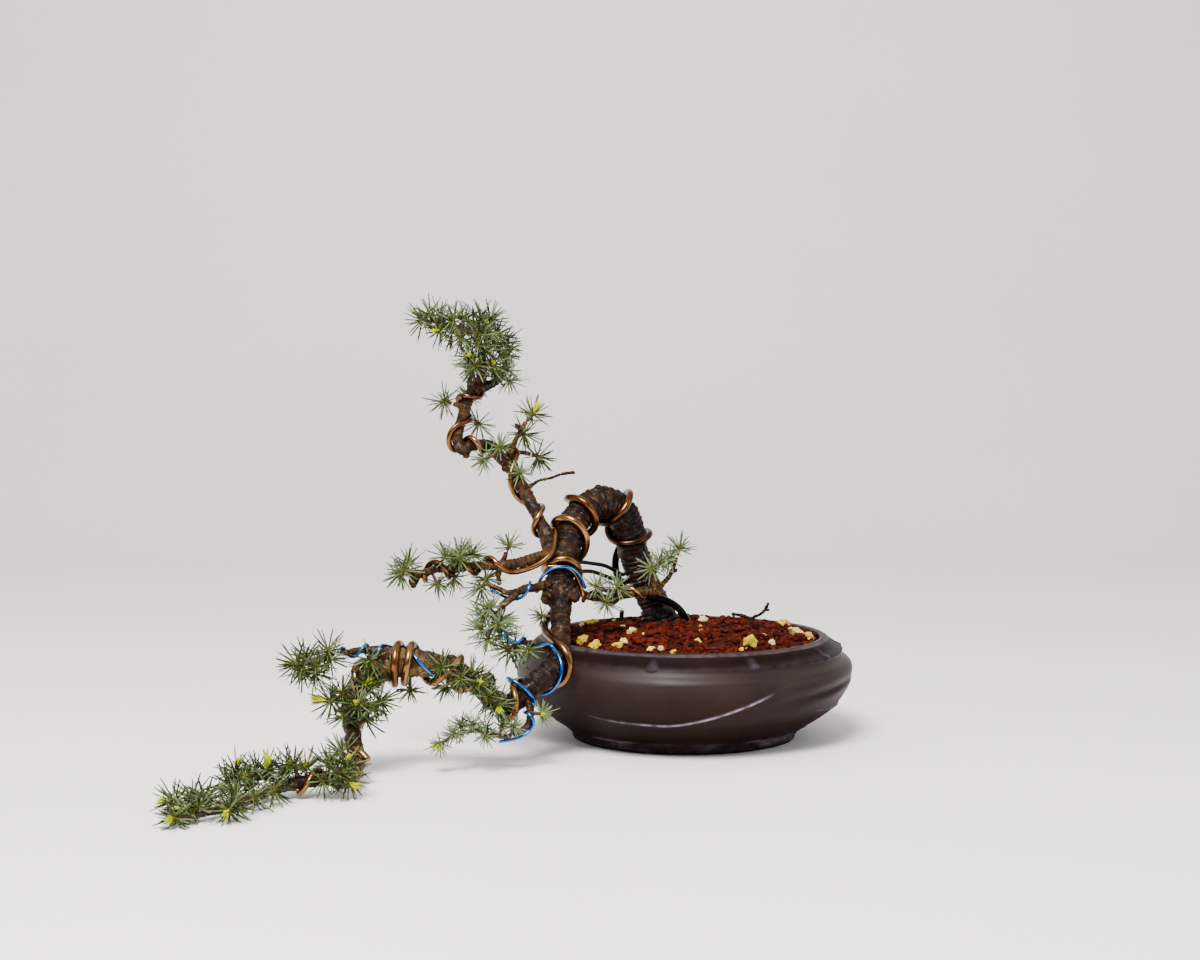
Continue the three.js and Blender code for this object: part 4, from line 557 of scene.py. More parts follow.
class Shape:
    """A mesh that is being put together in millimetres, with values kept for each corner."""

    def __init__(self, *names):
        self.corners = []
        self.faces = []
        self.values = {name: [] for name in names}
        self.count = 0

    def add(self, corners, faces, **values):
        """Add corners, the faces between them and their values."""
        for part in faces:
            self.faces.append(np.asarray(part) + self.count)
        self.corners.append(corners)
        for name, kept in self.values.items():
            value = np.asarray(values[name], float)
            shape = (len(corners),) if value.ndim < 2 else (len(corners), value.shape[1])
            kept.append(np.broadcast_to(value, shape))
        self.count += len(corners)

    def piece(self, name, materials, slot, *replaced, crease=None):
        """Make the mesh object, let it ride on the tree and stand for its solids."""
        mesh = bpy.data.meshes.new(name)
        corners = np.concatenate(self.corners) * MM
        loops = np.concatenate([part.ravel() for part in self.faces])
        sizes = np.concatenate([np.full(len(part), part.shape[1]) for part in self.faces])
        mesh.vertices.add(len(corners))
        mesh.vertices.foreach_set("co", corners.ravel())
        mesh.loops.add(len(loops))
        mesh.loops.foreach_set("vertex_index", loops)
        mesh.polygons.add(len(sizes))
        mesh.polygons.foreach_set("loop_start", np.concatenate([[0], np.cumsum(sizes)[:-1]]))
        mesh.update(calc_edges=True)
        for value_name, kept in self.values.items():
            value = np.concatenate(kept)
            kind, field = ("FLOAT", "value") if value.ndim == 1 else ("FLOAT_VECTOR", "vector")
            mesh.attributes.new(value_name, kind, "POINT").data.foreach_set(field, value.ravel())
        mesh.shade_smooth()
        if crease is not None:
            mesh.set_sharp_from_angle(angle=math.radians(crease))
        for material in materials:
            mesh.materials.append(material)
        made = bpy.data.objects.new(name, mesh)
        bpy.context.scene.collection.objects.link(made)
        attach(made, "root")
        if replaced:
            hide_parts(*replaced)
        return made


def grid_faces(rows, columns):
    """Faces between neighbouring rows of corners, each row closed round."""
    corner = np.arange(columns)
    after = np.roll(corner, -1)
    first = (np.arange(rows - 1) * columns)[:, None]
    return np.stack([first + corner, first + after, first + columns + after, first + columns + corner],
                    axis=-1).reshape(-1, 4)


def tube(line, radii, sides, dome=0.45):
    """Corners and faces of a closed tube, and each corner's angle round it. Radii may differ round a ring."""
    across, up = carried_frames(line)
    angles = np.linspace(0, 2 * np.pi, sides, endpoint=False)
    if np.ndim(radii) == 1:
        radii = np.repeat(np.asarray(radii)[:, None], sides, axis=1)
    out = across[:, None] * np.cos(angles)[:, None] + up[:, None] * np.sin(angles)[:, None]
    rings = line[:, None] + out * radii[..., None]
    tips = []
    for end, inner in ((0, 1), (-1, -2)):
        outward = unit(line[end] - line[inner])
        tips.append(line[end] + outward * dome * radii[end].mean())
    count = len(line) * sides
    corner = np.arange(sides)
    after = np.roll(corner, -1)
    last = count - sides
    faces = [
        grid_faces(len(line), sides),
        np.stack([after, corner, np.full(sides, count)], axis=-1),
        np.stack([last + corner, last + after, np.full(sides, count + 1)], axis=-1),
    ]
    corners = np.concatenate([rings.reshape(-1, 3), tips])
    return corners, faces, angles


# Rods: short straight stretches of wood or wire that other pieces keep clear of.
def rods_of(line, radii):
    """Rods along a line, as rows of start, end and the two radii."""
    radii = np.broadcast_to(radii, len(line))
    return np.column_stack([line[:-1], line[1:], radii[:-1], radii[1:]])


def rod_gap(start, end, rods):
    """How near a straight line comes to each rod: share along the line, way off the rod, and gap."""
    way = end - start
    rod_way = rods[:, 3:6] - rods[:, :3]
    offset = start - rods[:, :3]
    a = max(way @ way, 1e-9)
    e = np.maximum((rod_way ** 2).sum(axis=1), 1e-9)
    f = (rod_way * offset).sum(axis=1)
    c = offset @ way
    b = rod_way @ way
    spread = a * e - b * b
    s = np.where(spread > 1e-9, np.clip((b * f - c * e) / np.maximum(spread, 1e-9), 0, 1), 0)
    t = (b * s + f) / e
    s = np.where(t < 0, np.clip(-c / a, 0, 1), np.where(t > 1, np.clip((b - c) / a, 0, 1), s))
    t = np.clip(t, 0, 1)
    away = offset + s[:, None] * way - t[:, None] * rod_way
    gap = np.linalg.norm(away, axis=1) - (rods[:, 6] + (rods[:, 7] - rods[:, 6]) * t)
    return s, away, gap


def nearest_on_rods(points, rods):
    """For each point, the nearest place on each rod's middle line, and the rod's radius there."""
    way = rods[:, 3:6] - rods[:, :3]
    length = np.maximum((way ** 2).sum(axis=1), 1e-9)
    share = np.clip(((points[:, None] - rods[:, :3]) * way).sum(axis=2) / length, 0, 1)
    return rods[:, :3] + share[..., None] * way, rods[:, 6] + (rods[:, 7] - rods[:, 6]) * share


def settle(path, radius, rods, clearance, rounds):
    """Ease a wire's path off whatever it would cut into, and off its own turns."""
    for _ in range(rounds):
        moved = False
        for i in range(len(path) - 1):
            own = rods_of(path, radius)[np.abs(np.arange(len(path) - 1) - i) > OWN_SKIP]
            near = np.concatenate([rods, own])
            near = near[np.linalg.norm(near[:, :3] - path[i], axis=1) < near[:, 6] + radius + SETTLE_REACH]
            if not len(near):
                continue
            s, away, gap = rod_gap(path[i], path[i + 1], near)
            worst = gap.argmin()
            missing = radius + clearance - gap[worst]
            if missing > SETTLE_SLACK:
                push = unit(away[worst]) * missing
                path[i] += push * (1 - s[worst])
                path[i + 1] += push * s[worst]
                moved = True
        if not moved:
            return


def limb_line(points, step):
    """A limb's centre line, radii, places in its points and distance along, at even steps."""
    places, along = even_places(points, step)
    values = smooth_line(points, places)
    return values[:, :3], values[:, 3], places, along


def wood_rods():
    """Rods for every limb and stub."""
    rods = []
    for points in [*LIMBS.values(), *STUBS]:
        line, radii, _, _ = limb_line(points, 4)
        rods.append(rods_of(line, radii))
    return np.concatenate(rods)


# Bark.
def ridged(values, width):
    """1 in the grooves where the values cross zero, falling to 0 over width."""
    return np.clip(1 - np.abs(values) / width, 0, 1) ** 2


def bark_relief(limb, along, radii, sides, age, burr):
    """How far the bark stands off a limb's plain surface, ring by ring, and its unrolled places."""
    angles = np.linspace(0, 2 * np.pi, sides, endpoint=False)
    girth = np.repeat(radii[:, None], sides, axis=1)
    unrolled = np.stack([
        np.repeat(along[:, None], sides, axis=1) + LIMB_SHIFT * limb,
        girth * np.cos(angles),
        girth * np.sin(angles),
    ], axis=-1).reshape(-1, 3)
    age = np.repeat(age, sides)
    size = girth.ravel()
    # Each grain's size is in millimetres, along the limb and across it.
    rings = ridged(grain(unrolled / (2.6, 13, 13), 1), 0.5)
    small_rings = ridged(grain(unrolled / (1.2, 6, 6), 2), 0.5)
    cracks = ridged(grain(unrolled / (16, 3.4, 3.4), 3), 0.3)
    lumps = grain(unrolled / (9, 6.5, 6.5), 4)
    pits = grain(unrolled / (2.2, 1.6, 1.6), 5)
    relief = size * (0.06 * lumps - (0.045 + 0.075 * age) * rings) - 0.32 * small_rings + 0.2 * pits
    relief -= 0.05 * size * age * cracks
    relief += 0.38 * age * np.sin(unrolled[:, 0] * 2 + 2.2 * grain(unrolled / (7, 5, 5), 8))
    burr = np.repeat(burr, sides)
    relief += burr * (1.3 * grain(unrolled / 3.4, 6) - 1.1 * ridged(grain(unrolled / 4.5, 7), 0.4))
    return relief.reshape(-1, sides), unrolled


# Moves the bark's pattern on, from limb to limb, so that no two are alike.
LIMB_SHIFT = 500
STUB_NUMBER = 40
DEAD_TWIG_NUMBER = 60
# Where the trunk's skin changes, along its points: nearly black and damp by the soil, dark on the
# arch, browner as it comes down, and paler again where it is young.
TRUNK_TONE = [(0, 0.0), (5, 0.08), (7, 0.26), (9, 0.4), (13, 0.42), (15, 0.34), (16.5, 0.55), (18, 0.5),
              (20, 0.34), (24, 0.42), (28, 0.8), (31, 0.9), (33, 0.8), (35, 0.6), (42, 0.55), (51, 0.62)]
TRUNK_AGE = [(0, 1), (6, 0.8), (12, 0.9), (16, 0.6), (26, 0.5), (40, 0.3), (51, 0.1)]
# The foot of the trunk and the swelling where the branches leave it are knobbly.
TRUNK_BURR = [(0, 0.55), (2.4, 0.5), (3.6, 0.12), (5, 0), (13.4, 0), (14.4, 0.5), (15, 1), (15.7, 0.9),
              (16.1, 0)]
LIMB_TONE = {"crown": 0.58, "crownLoop": 0.4, "left": 0.66, "leftUpright": 0.6, "right": 0.72,
             "side": 0.6, "sideLeft": 0.6, "lower": 0.6, "upper": 0.5, "low": 0.5, "bareTwig": 0.66}
OTHER_TONE = 0.7
STUB_TONE = (0.45, 0.62)
DEAD_TONE = 0.3
OTHER_AGE = 0.2
STUB_AGE = 0.5
LIMB_SIDES = {"trunk": 60, "crown": 40, "left": 32, "right": 32}
TWIG_SIDES = 24
DEAD_TWIG_SIDES = 16
TWIG_STEP = 0.7
STUB_STEP = 0.5
COLLAR_LENGTH = 5
COLLAR_GROWTH = 0.45


class BarkSettings(bpy.types.PropertyGroup):
    """Sizes and colours of the bark."""

    ring_step: size_property("Ring step", "Distance between the rings of the bark's mesh", 0.75)
    wet: colour_property("Damp bark", "Bark beside the soil", 0x2C1511)
    dark: colour_property("Old bark", "Bark on the trunk's arch", 0x1F0F07)
    brown: colour_property("Brown bark", "Bark on the branches", 0x392110)
    olive: colour_property("Young bark", "Smooth bark on the upper cascade", 0x573F10)
    pale: colour_property("Flaked bark", "Pale flakes and worn ridges", 0x93693E)


def cedar_bark(looks):
    """Cedar bark, grown in rings and damp: dark, with painted shade in its grooves and creases, glossy in its
    creases, with pale breathing pores across.
    """
    material, add = new_material("cedar_bark")
    place = add("Attribute", attribute_name="unrolled").outputs["Vector"]
    tone = add("Attribute", attribute_name="tone").outputs["Fac"]
    crest = add("Attribute", attribute_name="crest").outputs["Fac"]
    # Creases are about 2 mm apart along a limb, and flakes about 5 mm long.
    rings = add("Mapping", {"Vector": place, "Scale": (0.5, 0.09, 0.09)})
    creases = add("TexNoise", {"Vector": rings, "Scale": 1, "Detail": 5, "Roughness": 0.62})
    flakes = add("Mapping", {"Vector": place, "Scale": (0.16, 0.3, 0.3)})
    patches = add("TexNoise", {"Vector": flakes, "Scale": 1, "Detail": 6, "Roughness": 0.6})
    # Fibres run lengthwise, about 0.7 mm across. Pores lie across the limb, 3 mm long and 0.7 mm high.
    fibre_place = add("Mapping", {"Vector": place, "Scale": (0.12, 1.4, 1.4)})
    fibres = add("TexNoise", {"Vector": fibre_place, "Scale": 1, "Detail": 3})
    pore_place = add("Mapping", {"Vector": place, "Scale": (0.95, 0.24, 0.24)})
    pores = add("TexNoise", {"Vector": pore_place, "Scale": 1, "Detail": 2, "Roughness": 0.4})
    age = add("ValToRGB", {"Fac": tone}, stops=[
        (0, looks.wet), (1, looks.olive), (0.12, looks.wet), (0.38, looks.dark), (0.62, looks.brown),
        (0.8, looks.olive)])
    paled = add("MapRange", {"Value": patches}, span=(0.5, 0.66))
    raised = add("MapRange", {"Value": crest}, span=(0.4, 0.9))
    flake = add("Math", {0: paled, 1: raised}, operation="MULTIPLY")
    dashes = add("MapRange", {"Value": pores}, span=(0.62, 0.7, 0, 0.75))
    marks = add("Math", {0: flake, 1: dashes}, operation="MAXIMUM")
    held = add("Math", {0: marks, 1: tone}, operation="MULTIPLY")
    skin = add("Mix", {"Factor": held, "A": age, "B": looks.pale}, data_type="RGBA")
    # Painted shade: the bark is darkened in its grooves, down to 0.22 of its colour, and darker in the low
    # places of its creases; their crests are lighter, as painted light.
    groove = add("MapRange", {"Value": crest}, span=(0.0, 0.5, 0.22, 1))
    crease_light_and_shade = add("MapRange", {"Value": creases}, span=(0.32, 0.68, 0.5, 1.5))
    threads = add("MapRange", {"Value": fibres}, span=(0.3, 0.7, 0.75, 1.25))
    shade = add("Math", {0: groove, 1: crease_light_and_shade}, operation="MULTIPLY")
    shade = add("Math", {0: shade, 1: threads}, operation="MULTIPLY")
    colour = add("Mix", {"Factor": 1, "A": skin, "B": shade}, data_type="RGBA", blend_type="MULTIPLY")
    # Damp patches, about 5 mm long, glint on their wrinkles. The rest is matt.
    damp = add("MapRange", {"Value": patches}, span=(0.5, 0.64, 0.02, 0.5))
    soaked = add("MapRange", {"Value": tone}, span=(0.05, 0.3, 0.9, 0))
    glints = add("MapRange", {"Value": creases}, span=(0.5, 0.6))
    soaked = add("Math", {0: soaked, 1: glints}, operation="MULTIPLY")
    smooth = add("MapRange", {"Value": tone}, span=(0.6, 0.9, 0, 0.3))
    wet = add("Math", {0: damp, 1: soaked}, operation="MAXIMUM")
    wet = add("Math", {0: wet, 1: smooth}, operation="MAXIMUM")
    bump = add("Bump", {"Height": creases, "Strength": 0.9, "Distance": 0.0014})
    fine = add("Bump", {"Height": fibres, "Strength": 0.5, "Distance": 0.0004, "Normal": bump})
    surface = add("BsdfPrincipled", {
        "Base Color": colour, "Roughness": 0.6, "IOR": 1.5, "Specular IOR Level": 0.09, "Normal": fine,
        "Coat Weight": wet, "Coat Roughness": 0.1, "Coat Normal": fine})
    add("OutputMaterial", {"Surface": surface})
    return material


def along_limb(value, places):
    """Values at places on a limb, from one number, a pair from root to tip, or rows of place and value."""
    if isinstance(value, list):
        return read(value, places)
    first, last = value if isinstance(value, tuple) else (value, value)
    return np.linspace(first, last, len(places))


def add_limb(shape, number, points, sides, step, tone, age, burr=0, collar=True):
    """One limb with its bark. A collar swells its root where it grows from another limb."""
    line, radii, places, along = limb_line(points, step)
    if collar:
        radii = radii * (1 + COLLAR_GROWTH * bell(along, COLLAR_LENGTH))
    tone, age, burr = (along_limb(value, places) for value in (tone, age, burr))
    relief, unrolled = bark_relief(number, along, radii, sides, age, burr)
    corners, faces, _ = tube(line, radii[:, None] + relief, sides)
    crest = 0.5 + relief / (0.16 * radii[:, None] + 0.2)
    shape.add(corners, faces, unrolled=np.concatenate([unrolled, unrolled[[0, -1]]]),
              tone=np.concatenate([np.repeat(tone, sides), tone[[0, -1]]]),
              crest=np.concatenate([crest.ravel(), [0.5, 0.5]]))


class BONSAI_OT_wood(bpy.types.Operator):
    """Grow the trunk, its branches and cut stubs with their bark, and the dry twig in the soil"""

    bl_idname = "bonsai.wood"
    bl_label = "Trunk, branches and dry twig"

    def execute(self, context):
        looks = context.scene.bonsai_bark
        material = cedar_bark(looks)
        wood = Shape("unrolled", "tone", "crest")
        for number, (name, points) in enumerate(LIMBS.items()):
            sides = LIMB_SIDES.get(name, TWIG_SIDES)
            step = looks.ring_step if name in LIMB_SIDES else TWIG_STEP
            if name == "trunk":
                add_limb(wood, number, points, sides, step, TRUNK_TONE, TRUNK_AGE, TRUNK_BURR, collar=False)
            else:
                add_limb(wood, number, points, sides, step, LIMB_TONE.get(name, OTHER_TONE), OTHER_AGE)
        for number, points in enumerate(STUBS, STUB_NUMBER):
            add_limb(wood, number, points, TWIG_SIDES, STUB_STEP, STUB_TONE, STUB_AGE)
        wood.piece("cedar_wood", [material], "bark", "trunk_and_branches")
        twig = Shape("unrolled", "tone", "crest")
        for number, points in enumerate(DEAD_TWIG, DEAD_TWIG_NUMBER):
            add_limb(twig, number, points, DEAD_TWIG_SIDES, STUB_STEP, DEAD_TONE, DEAD_TONE, collar=False)
        twig.piece("dry_twig", [material], "deadwood", "dead_twig")
        return {"FINISHED"}


# Wires. Their radii, and how much thicker the tie is drawn than its solid, to show as it does in life.
TRUNK_WIRE = 2.5
CROWN_WIRE = 1.9
BRANCH_WIRE = 1.4
BLUE_WIRE = 1.05
TIE_WIRE = 0.8
TIE_SWELL = 1.7
SETTLE_ROUNDS = 14
TIGHTEN_ROUNDS = 6
SETTLE_REACH = 16
SETTLE_SLACK = 0.01
# Neighbouring stretches of the same wire, which a stretch doesn't push at.
OWN_SKIP = 8
# Gaps between a wire and the bark, as wound and as settled.
WIRE_HUG = 0.06
WIRE_GAP = 0.05
# Degrees from one point of a coil to the next.
COIL_STEP = 15


def coil(limb, stations, wire):
    """A wire's path round a limb, through stations of place, angle and distance off the bark."""
    points = np.array(LIMBS[limb], float)
    stations = np.array(stations, float)
    turns = np.abs(np.diff(stations[:, 1]))
    spots = [np.linspace(i, i + 1, max(1, int(round(turn / COIL_STEP))), endpoint=False)
             for i, turn in enumerate(turns)]
    place, angle, off = smooth_line(stations, np.concatenate([*spots, [len(turns)]])).T
    place = np.clip(place, 0, len(points) - 1)
    values = smooth_line(points, place)
    along = unit(smooth_line(points, place + 0.01)[:, :3] - smooth_line(points, place - 0.01)[:, :3])
    front = unit(np.array([0, -1.0, 0]) + along * along[:, 1:2])
    side = np.cross(along, front)
    reach = (values[:, 3] + wire + WIRE_HUG + off)[:, None]
    angle = np.radians(angle)[:, None]
    return values[:, :3] + reach * (front * np.cos(angle) + side * np.sin(angle))


def wire_routes():
    """Each wire's radius and route, in the order in which the wires were wound on."""
    return {
        "copper_wire_trunk": (TRUNK_WIRE, [
            [[7, 6, 56], [6, 4, 66], [4, 1, 76], [0, -1, 86], [-9, -4, 92], [-16, -4.5, 95]],
            coil("trunk", TRUNK_COIL, TRUNK_WIRE)]),
        "copper_wire_crown": (CROWN_WIRE, [
            coil("left", LEFT_COIL, CROWN_WIRE), [[-88, -50, 132]], coil("crown", CROWN_COIL, CROWN_WIRE)]),
        "copper_wire_right": (BRANCH_WIRE, [
            coil("trunk", RIGHT_ANCHOR, BRANCH_WIRE), coil("right", RIGHT_COIL, BRANCH_WIRE)]),
        "copper_wire_low": (CROWN_WIRE, [coil("trunk", LOW_COIL, CROWN_WIRE)]),
        "blue_wire_side": (BLUE_WIRE, [
            coil("trunk", BLUE_ACROSS, BLUE_WIRE), coil("side", BLUE_SIDE, BLUE_WIRE),
            coil("sideLeft", BLUE_SIDE_LEFT, BLUE_WIRE)]),
        "blue_wire_low": (BLUE_WIRE, [
            [[-118, -98, 83], [-117, -100, 79], [-114, -101, 76]], coil("lower", BLUE_LOWER, BLUE_WIRE),
            coil("trunk", BLUE_TRUNK, BLUE_WIRE), coil("low", BLUE_LOW, BLUE_WIRE),
            [[-114, -128, 19], [-119, -129, 19]]]),
        "blue_wire_upper": (BLUE_WIRE, [
            coil("trunk", BLUE_ARCH, BLUE_WIRE), coil("upper", BLUE_UPPER, BLUE_WIRE)]),
        "tie_wire": (TIE_WIRE, [
            coil("trunk", TIE_NEAR_END, TIE_WIRE), [[-52, -6, 115], [-62, -18, 118]],
            coil("trunk", TIE_BEND, TIE_WIRE), [[-62, -20, 113], [-52, -8, 108]],
            coil("trunk", TIE_FAR_END, TIE_WIRE)]),
    }


def relax(path, share):
    """Draw a wire's path a little tighter, as a pull along it would."""
    path[1:-1] += share * (0.5 * (path[:-2] + path[2:]) - path[1:-1])


def settled_wires():
    """Every wire's route, drawn tight on the wood and on the wires under it, and its radius."""
    rods = wood_rods()
    laid = {}
    for name, (radius, parts) in wire_routes().items():
        route = np.concatenate([np.asarray(part, float) for part in parts])
        places, _ = even_places(route, 2.2 * radius + 0.8)
        path = smooth_line(route, places)
        settle(path, radius, rods, WIRE_GAP, SETTLE_ROUNDS)
        for _ in range(TIGHTEN_ROUNDS):
            relax(path, 0.5)
            settle(path, radius, rods, WIRE_GAP, 3)
        relax(path, 0.35)
        rods = np.concatenate([rods, rods_of(path, radius)])
        laid[name] = (radius, path)
    return laid


LAID_WIRES = settled_wires()


class WireSettings(bpy.types.PropertyGroup):
    """Sizes and colours of the training wires."""

    sides: bpy.props.IntProperty(name="Sides", description="Faces round a wire", default=16, min=8, max=32)
    copper: colour_property("Copper anodising", "Training wire where it is bright", 0xA87E50)
    bronze: colour_property("Bronze anodising", "Training wire where it is dull", 0x5F381A)
    # Painted shade: the darkest colour of a copper-coloured wire, where its tone paints it as lying in shade.
    wire_shade: colour_property("Tarnish", "Training wire where it has stood damp", 0x120D0C)
    blue: colour_property("Blue anodising", "Wire on the lower branches", 0x0B66BA)
    navy: colour_property("Dulled blue", "Blue wire where it is handled", 0x083C74)
    black: colour_property("Black coating", "Tie between the trunk's two legs", 0x060506)
    rubbed: colour_property("Rubbed coating", "Black tie where it is rubbed", 0x161618)


# How bright a copper-coloured wire is, by share of its length, as painted light and shade: black where it
# lies in shade by the soil, dark on the arch, brighter where it catches the light.
WIRE_LIGHT_AND_SHADE = {
    "copper_wire_trunk": [(0, 0), (0.11, 0.04), (0.15, 0.3), (0.2, 0.5), (0.24, 0.36), (0.33, 0.6),
                          (0.4, 0.82), (0.46, 0.5), (0.55, 0.62), (0.72, 0.8), (0.86, 0.62), (1, 0.7)],
    "copper_wire_crown": [(0, 0.5), (0.3, 0.66), (0.5, 0.7), (0.78, 0.76), (0.88, 0.5), (1, 0.4)],
    "copper_wire_right": [(0, 0.5), (0.4, 0.75), (1, 0.8)],
    "copper_wire_low": [(0, 0.6), (1, 0.7)],
}
OTHER_WIRE_TONE = [(0, 0.6)]
# How far a wire's tone drops, as painted shade, on the side that faces the bark.
CONTACT_SHADE = 0.5
# Distance between the rings of a wire's mesh.
WIRE_STEP = 0.9


def facing_wood(line, corners, sides, wood):
    """How squarely each corner of a wire faces the wood that the wire lies on, from 0 to 1."""
    nearest, radius = nearest_on_rods(line, wood)
    away = nearest - line[:, None]
    gap = np.linalg.norm(away, axis=2) - radius
    beside = gap.argmin(axis=1)
    rows = np.arange(len(line))
    inward = unit(away[rows, beside])
    lies = np.interp(gap[rows, beside], [3, 7], [1, 0])
    out = unit(corners[:-2].reshape(len(line), sides, 3) - line[:, None])
    facing = np.clip((out * inward[:, None]).sum(axis=2), 0, 1) * lies[:, None]
    # Drawn out over seven rings, as the wood beside a wire changes where limbs meet.
    return np.apply_along_axis(np.convolve, 0, facing, np.ones(7) / 7, "same").ravel()


def anodised_aluminium(name, colours, clear):
    """Drawn, dyed aluminium wire: a satin metal with fine draw lines, dulled where it is handled, and
    darkened by painted shade where its tone is low.
    """
    material, add = new_material(name)
    place = add("Attribute", attribute_name="unrolled").outputs["Vector"]
    tone = add("Attribute", attribute_name="tone").outputs["Fac"]
    # Stretches of handling are about 12 mm long, draw lines 0.4 mm apart.
    handled = add("Mapping", {"Vector": place, "Scale": (0.08, 0.3, 0.3)})
    cloud = add("TexNoise", {"Vector": handled, "Scale": 1, "Detail": 4})
    lines = add("Mapping", {"Vector": place, "Scale": (0.05, 2.4, 2.4)})
    draw = add("TexNoise", {"Vector": lines, "Scale": 1, "Detail": 2})
    drift = add("MapRange", {"Value": cloud}, span=(0.3, 0.7, -0.2, 0.2))
    level = add("Math", {0: tone, 1: drift}, operation="ADD", use_clamp=True)
    colour = add("ValToRGB", {"Fac": level}, stops=colours)
    rough = add("MapRange", {"Value": cloud}, span=(0.3, 0.7, 0.32, 0.18))
    bump = add("Bump", {"Height": draw, "Strength": 0.02, "Distance": 0.0002})
    surface = add("BsdfPrincipled", {
        "Base Color": colour, "Metallic": 1, "Roughness": rough, "Normal": bump, "Coat Weight": clear,
        "Coat Roughness": 0.15})
    add("OutputMaterial", {"Surface": surface})
    return material


def plastic_coating(looks):
    """Black coated wire: a satin plastic skin, a little greyer where it is rubbed."""
    material, add = new_material("black_coated_wire")
    place = add("Attribute", attribute_name="unrolled").outputs["Vector"]
    # Rubbed stretches are about 6 mm long.
    rubbed = add("Mapping", {"Vector": place, "Scale": (0.16, 0.8, 0.8)})
    cloud = add("TexNoise", {"Vector": rubbed, "Scale": 1, "Detail": 3})
    colour = add("ValToRGB", {"Fac": cloud}, stops=[(0.4, looks.black), (0.75, looks.rubbed)])
    bump = add("Bump", {"Height": cloud, "Strength": 0.15, "Distance": 0.0002})
    surface = add("BsdfPrincipled", {
        "Base Color": colour, "Roughness": 0.35, "Specular IOR Level": 0.25, "Normal": bump})
    add("OutputMaterial", {"Surface": surface})
    return material


class BONSAI_OT_wires(bpy.types.Operator):
    """Wind the copper-coloured and blue training wires and the black tie"""

    bl_idname = "bonsai.wires"
    bl_label = "Training wires"

    def execute(self, context):
        looks = context.scene.bonsai_wire
        copper = [(0, looks.wire_shade), (1, looks.copper), (0.14, looks.wire_shade), (0.5, looks.bronze)]
        blue = [(0.2, looks.navy), (0.6, looks.blue)]
        finishes = {
            "copper": (anodised_aluminium("copper_anodised_aluminium", copper, 0.08), "copper_wire"),
            "blue": (anodised_aluminium("blue_anodised_aluminium", blue, 0.4), "blue_wire"),
            "tie": (plastic_coating(looks), "black_wire"),
        }
        wood = wood_rods()
        for name, (radius, path) in LAID_WIRES.items():
            material, slot = finishes[name.split("_")[0]]
            radius *= TIE_SWELL if name == "tie_wire" else 1
            places, along = even_places(path, WIRE_STEP)
            line = smooth_line(path, places)
            # The cutters leave a short bevel at each end.
            edge = np.minimum(along, along[-1] - along)
            radii = radius * np.interp(edge, [0, 0.5 * radius], [0.82, 1])
            corners, faces, angles = tube(line, radii, looks.sides, dome=0.1)
            unrolled = np.stack([
                np.repeat(along, looks.sides), np.tile(radius * np.cos(angles), len(line)),
                np.tile(radius * np.sin(angles), len(line))], axis=-1)
            tones = np.repeat(read(WIRE_LIGHT_AND_SHADE.get(name, OTHER_WIRE_TONE), along / along[-1]), looks.sides)
            # Painted shade: a wire is darkened on the side that faces the bark it lies on.
            tones -= CONTACT_SHADE * facing_wood(line, corners, looks.sides, wood) ** 1.5
            wire = Shape("unrolled", "tone")
            wire.add(corners, faces, unrolled=np.concatenate([unrolled, unrolled[[0, -1]]]),
                     tone=np.concatenate([tones, tones[[0, -1]]]))
            wire.piece("wound_" + name, [material], slot, name)
        return {"FINISHED"}


# Needles.
NEEDLE_SIDES = 4
NEEDLE_RINGS = (0, 0.12, 0.4, 0.72, 0.93)
NEEDLE_GIRTH = (0.7, 0.95, 1.0, 0.9, 0.6)
SPUR_TIP = 1.3
NEEDLE_GAP = 0.35
POT_GAP = 2.5
RIM_GAP = 1
MOUTH_EDGE = MOUTH_RADIUS + 3
# Needles that would reach below the clearance lie down on it instead.
FLOOR_CLEARANCE = 0.6
LOWEST_NEEDLE = 0.5
# Feet of spurs and shoots are sunk in the bark.
SUNK = -0.3
BUD_NEEDLES = 30
GOLDEN_TURN = 2.39996
FIRST_SEED = 300
# How long needles are against a full-grown one, and how thick their bloom is, where sprays differ.
USUAL_HABIT = (1, 0.2)
SPRAY_HABIT = {
    "low_twig": (0.62, 0.85), "low_right": (0.7, 0.8), "right_middle": (0.82, 0.75),
    "right_upright": (0.86, 0.75), "right_outer": (0.86, 0.7), "right_outer_low": (0.8, 0.7),
    "left_upright": (0.8, 0.4), "left_tip": (0.9, 0.4), "left_tip_under": (0.75, 0.4),
    "left_top": (0.9, 0.4), "left_under": (0.75, 0.4), "side_left": (0.9, 0.4),
    "side_hanging": (0.95, 0.62), "trunk_side": (0.6, 0.4), "lower_hanging": (0.8, 0.5),
    "crown_behind": (0.9, 0.6), "crown_loop_low": (0.8, 0.6), "crown_loop_top": (0.8, 0.3),
    "middle_hanging": (0.7, 0.3), "arch_hanging": (0.7, 0.3), "crown_fork": (0.85, 0.55),
    "crown_fork_front": (0.8, 0.6), "tail_side": (1, 0.16), "tail_tip": (1, 0.16),
}


class NeedleSettings(bpy.types.PropertyGroup):
    """Counts, sizes and colours of the foliage."""

    tuft_count: bpy.props.IntProperty(
        name="Needles in a tuft", description="Needles that radiate from one spur", default=28, min=5, max=80)
    length: size_property("Needle length", "Length of a full-grown needle", 13.6)
    width: size_property("Needle width", "Width of a needle at its middle", 1.04)
    shoot_spacing: size_property("Needle spacing", "Distance between single needles on a long shoot", 1.3)
    blue: colour_property("Waxy needle", "Bloom on a full-grown needle", 0x7F8C4B)
    frost: colour_property("Frosted needle", "Blue bloom where the wax is thickest", 0x5A6F5B)
    green: colour_property("Green needle", "Needle where its bloom is thin", 0x141D03)
    root: colour_property("Needle root", "Olive root of a needle", 0x62680E)
    lime: colour_property("New shoot", "Needles of this year's shoots", 0xBCC400)
    spur: colour_property("Spur", "Scaly bark of the short spurs", 0x402613)


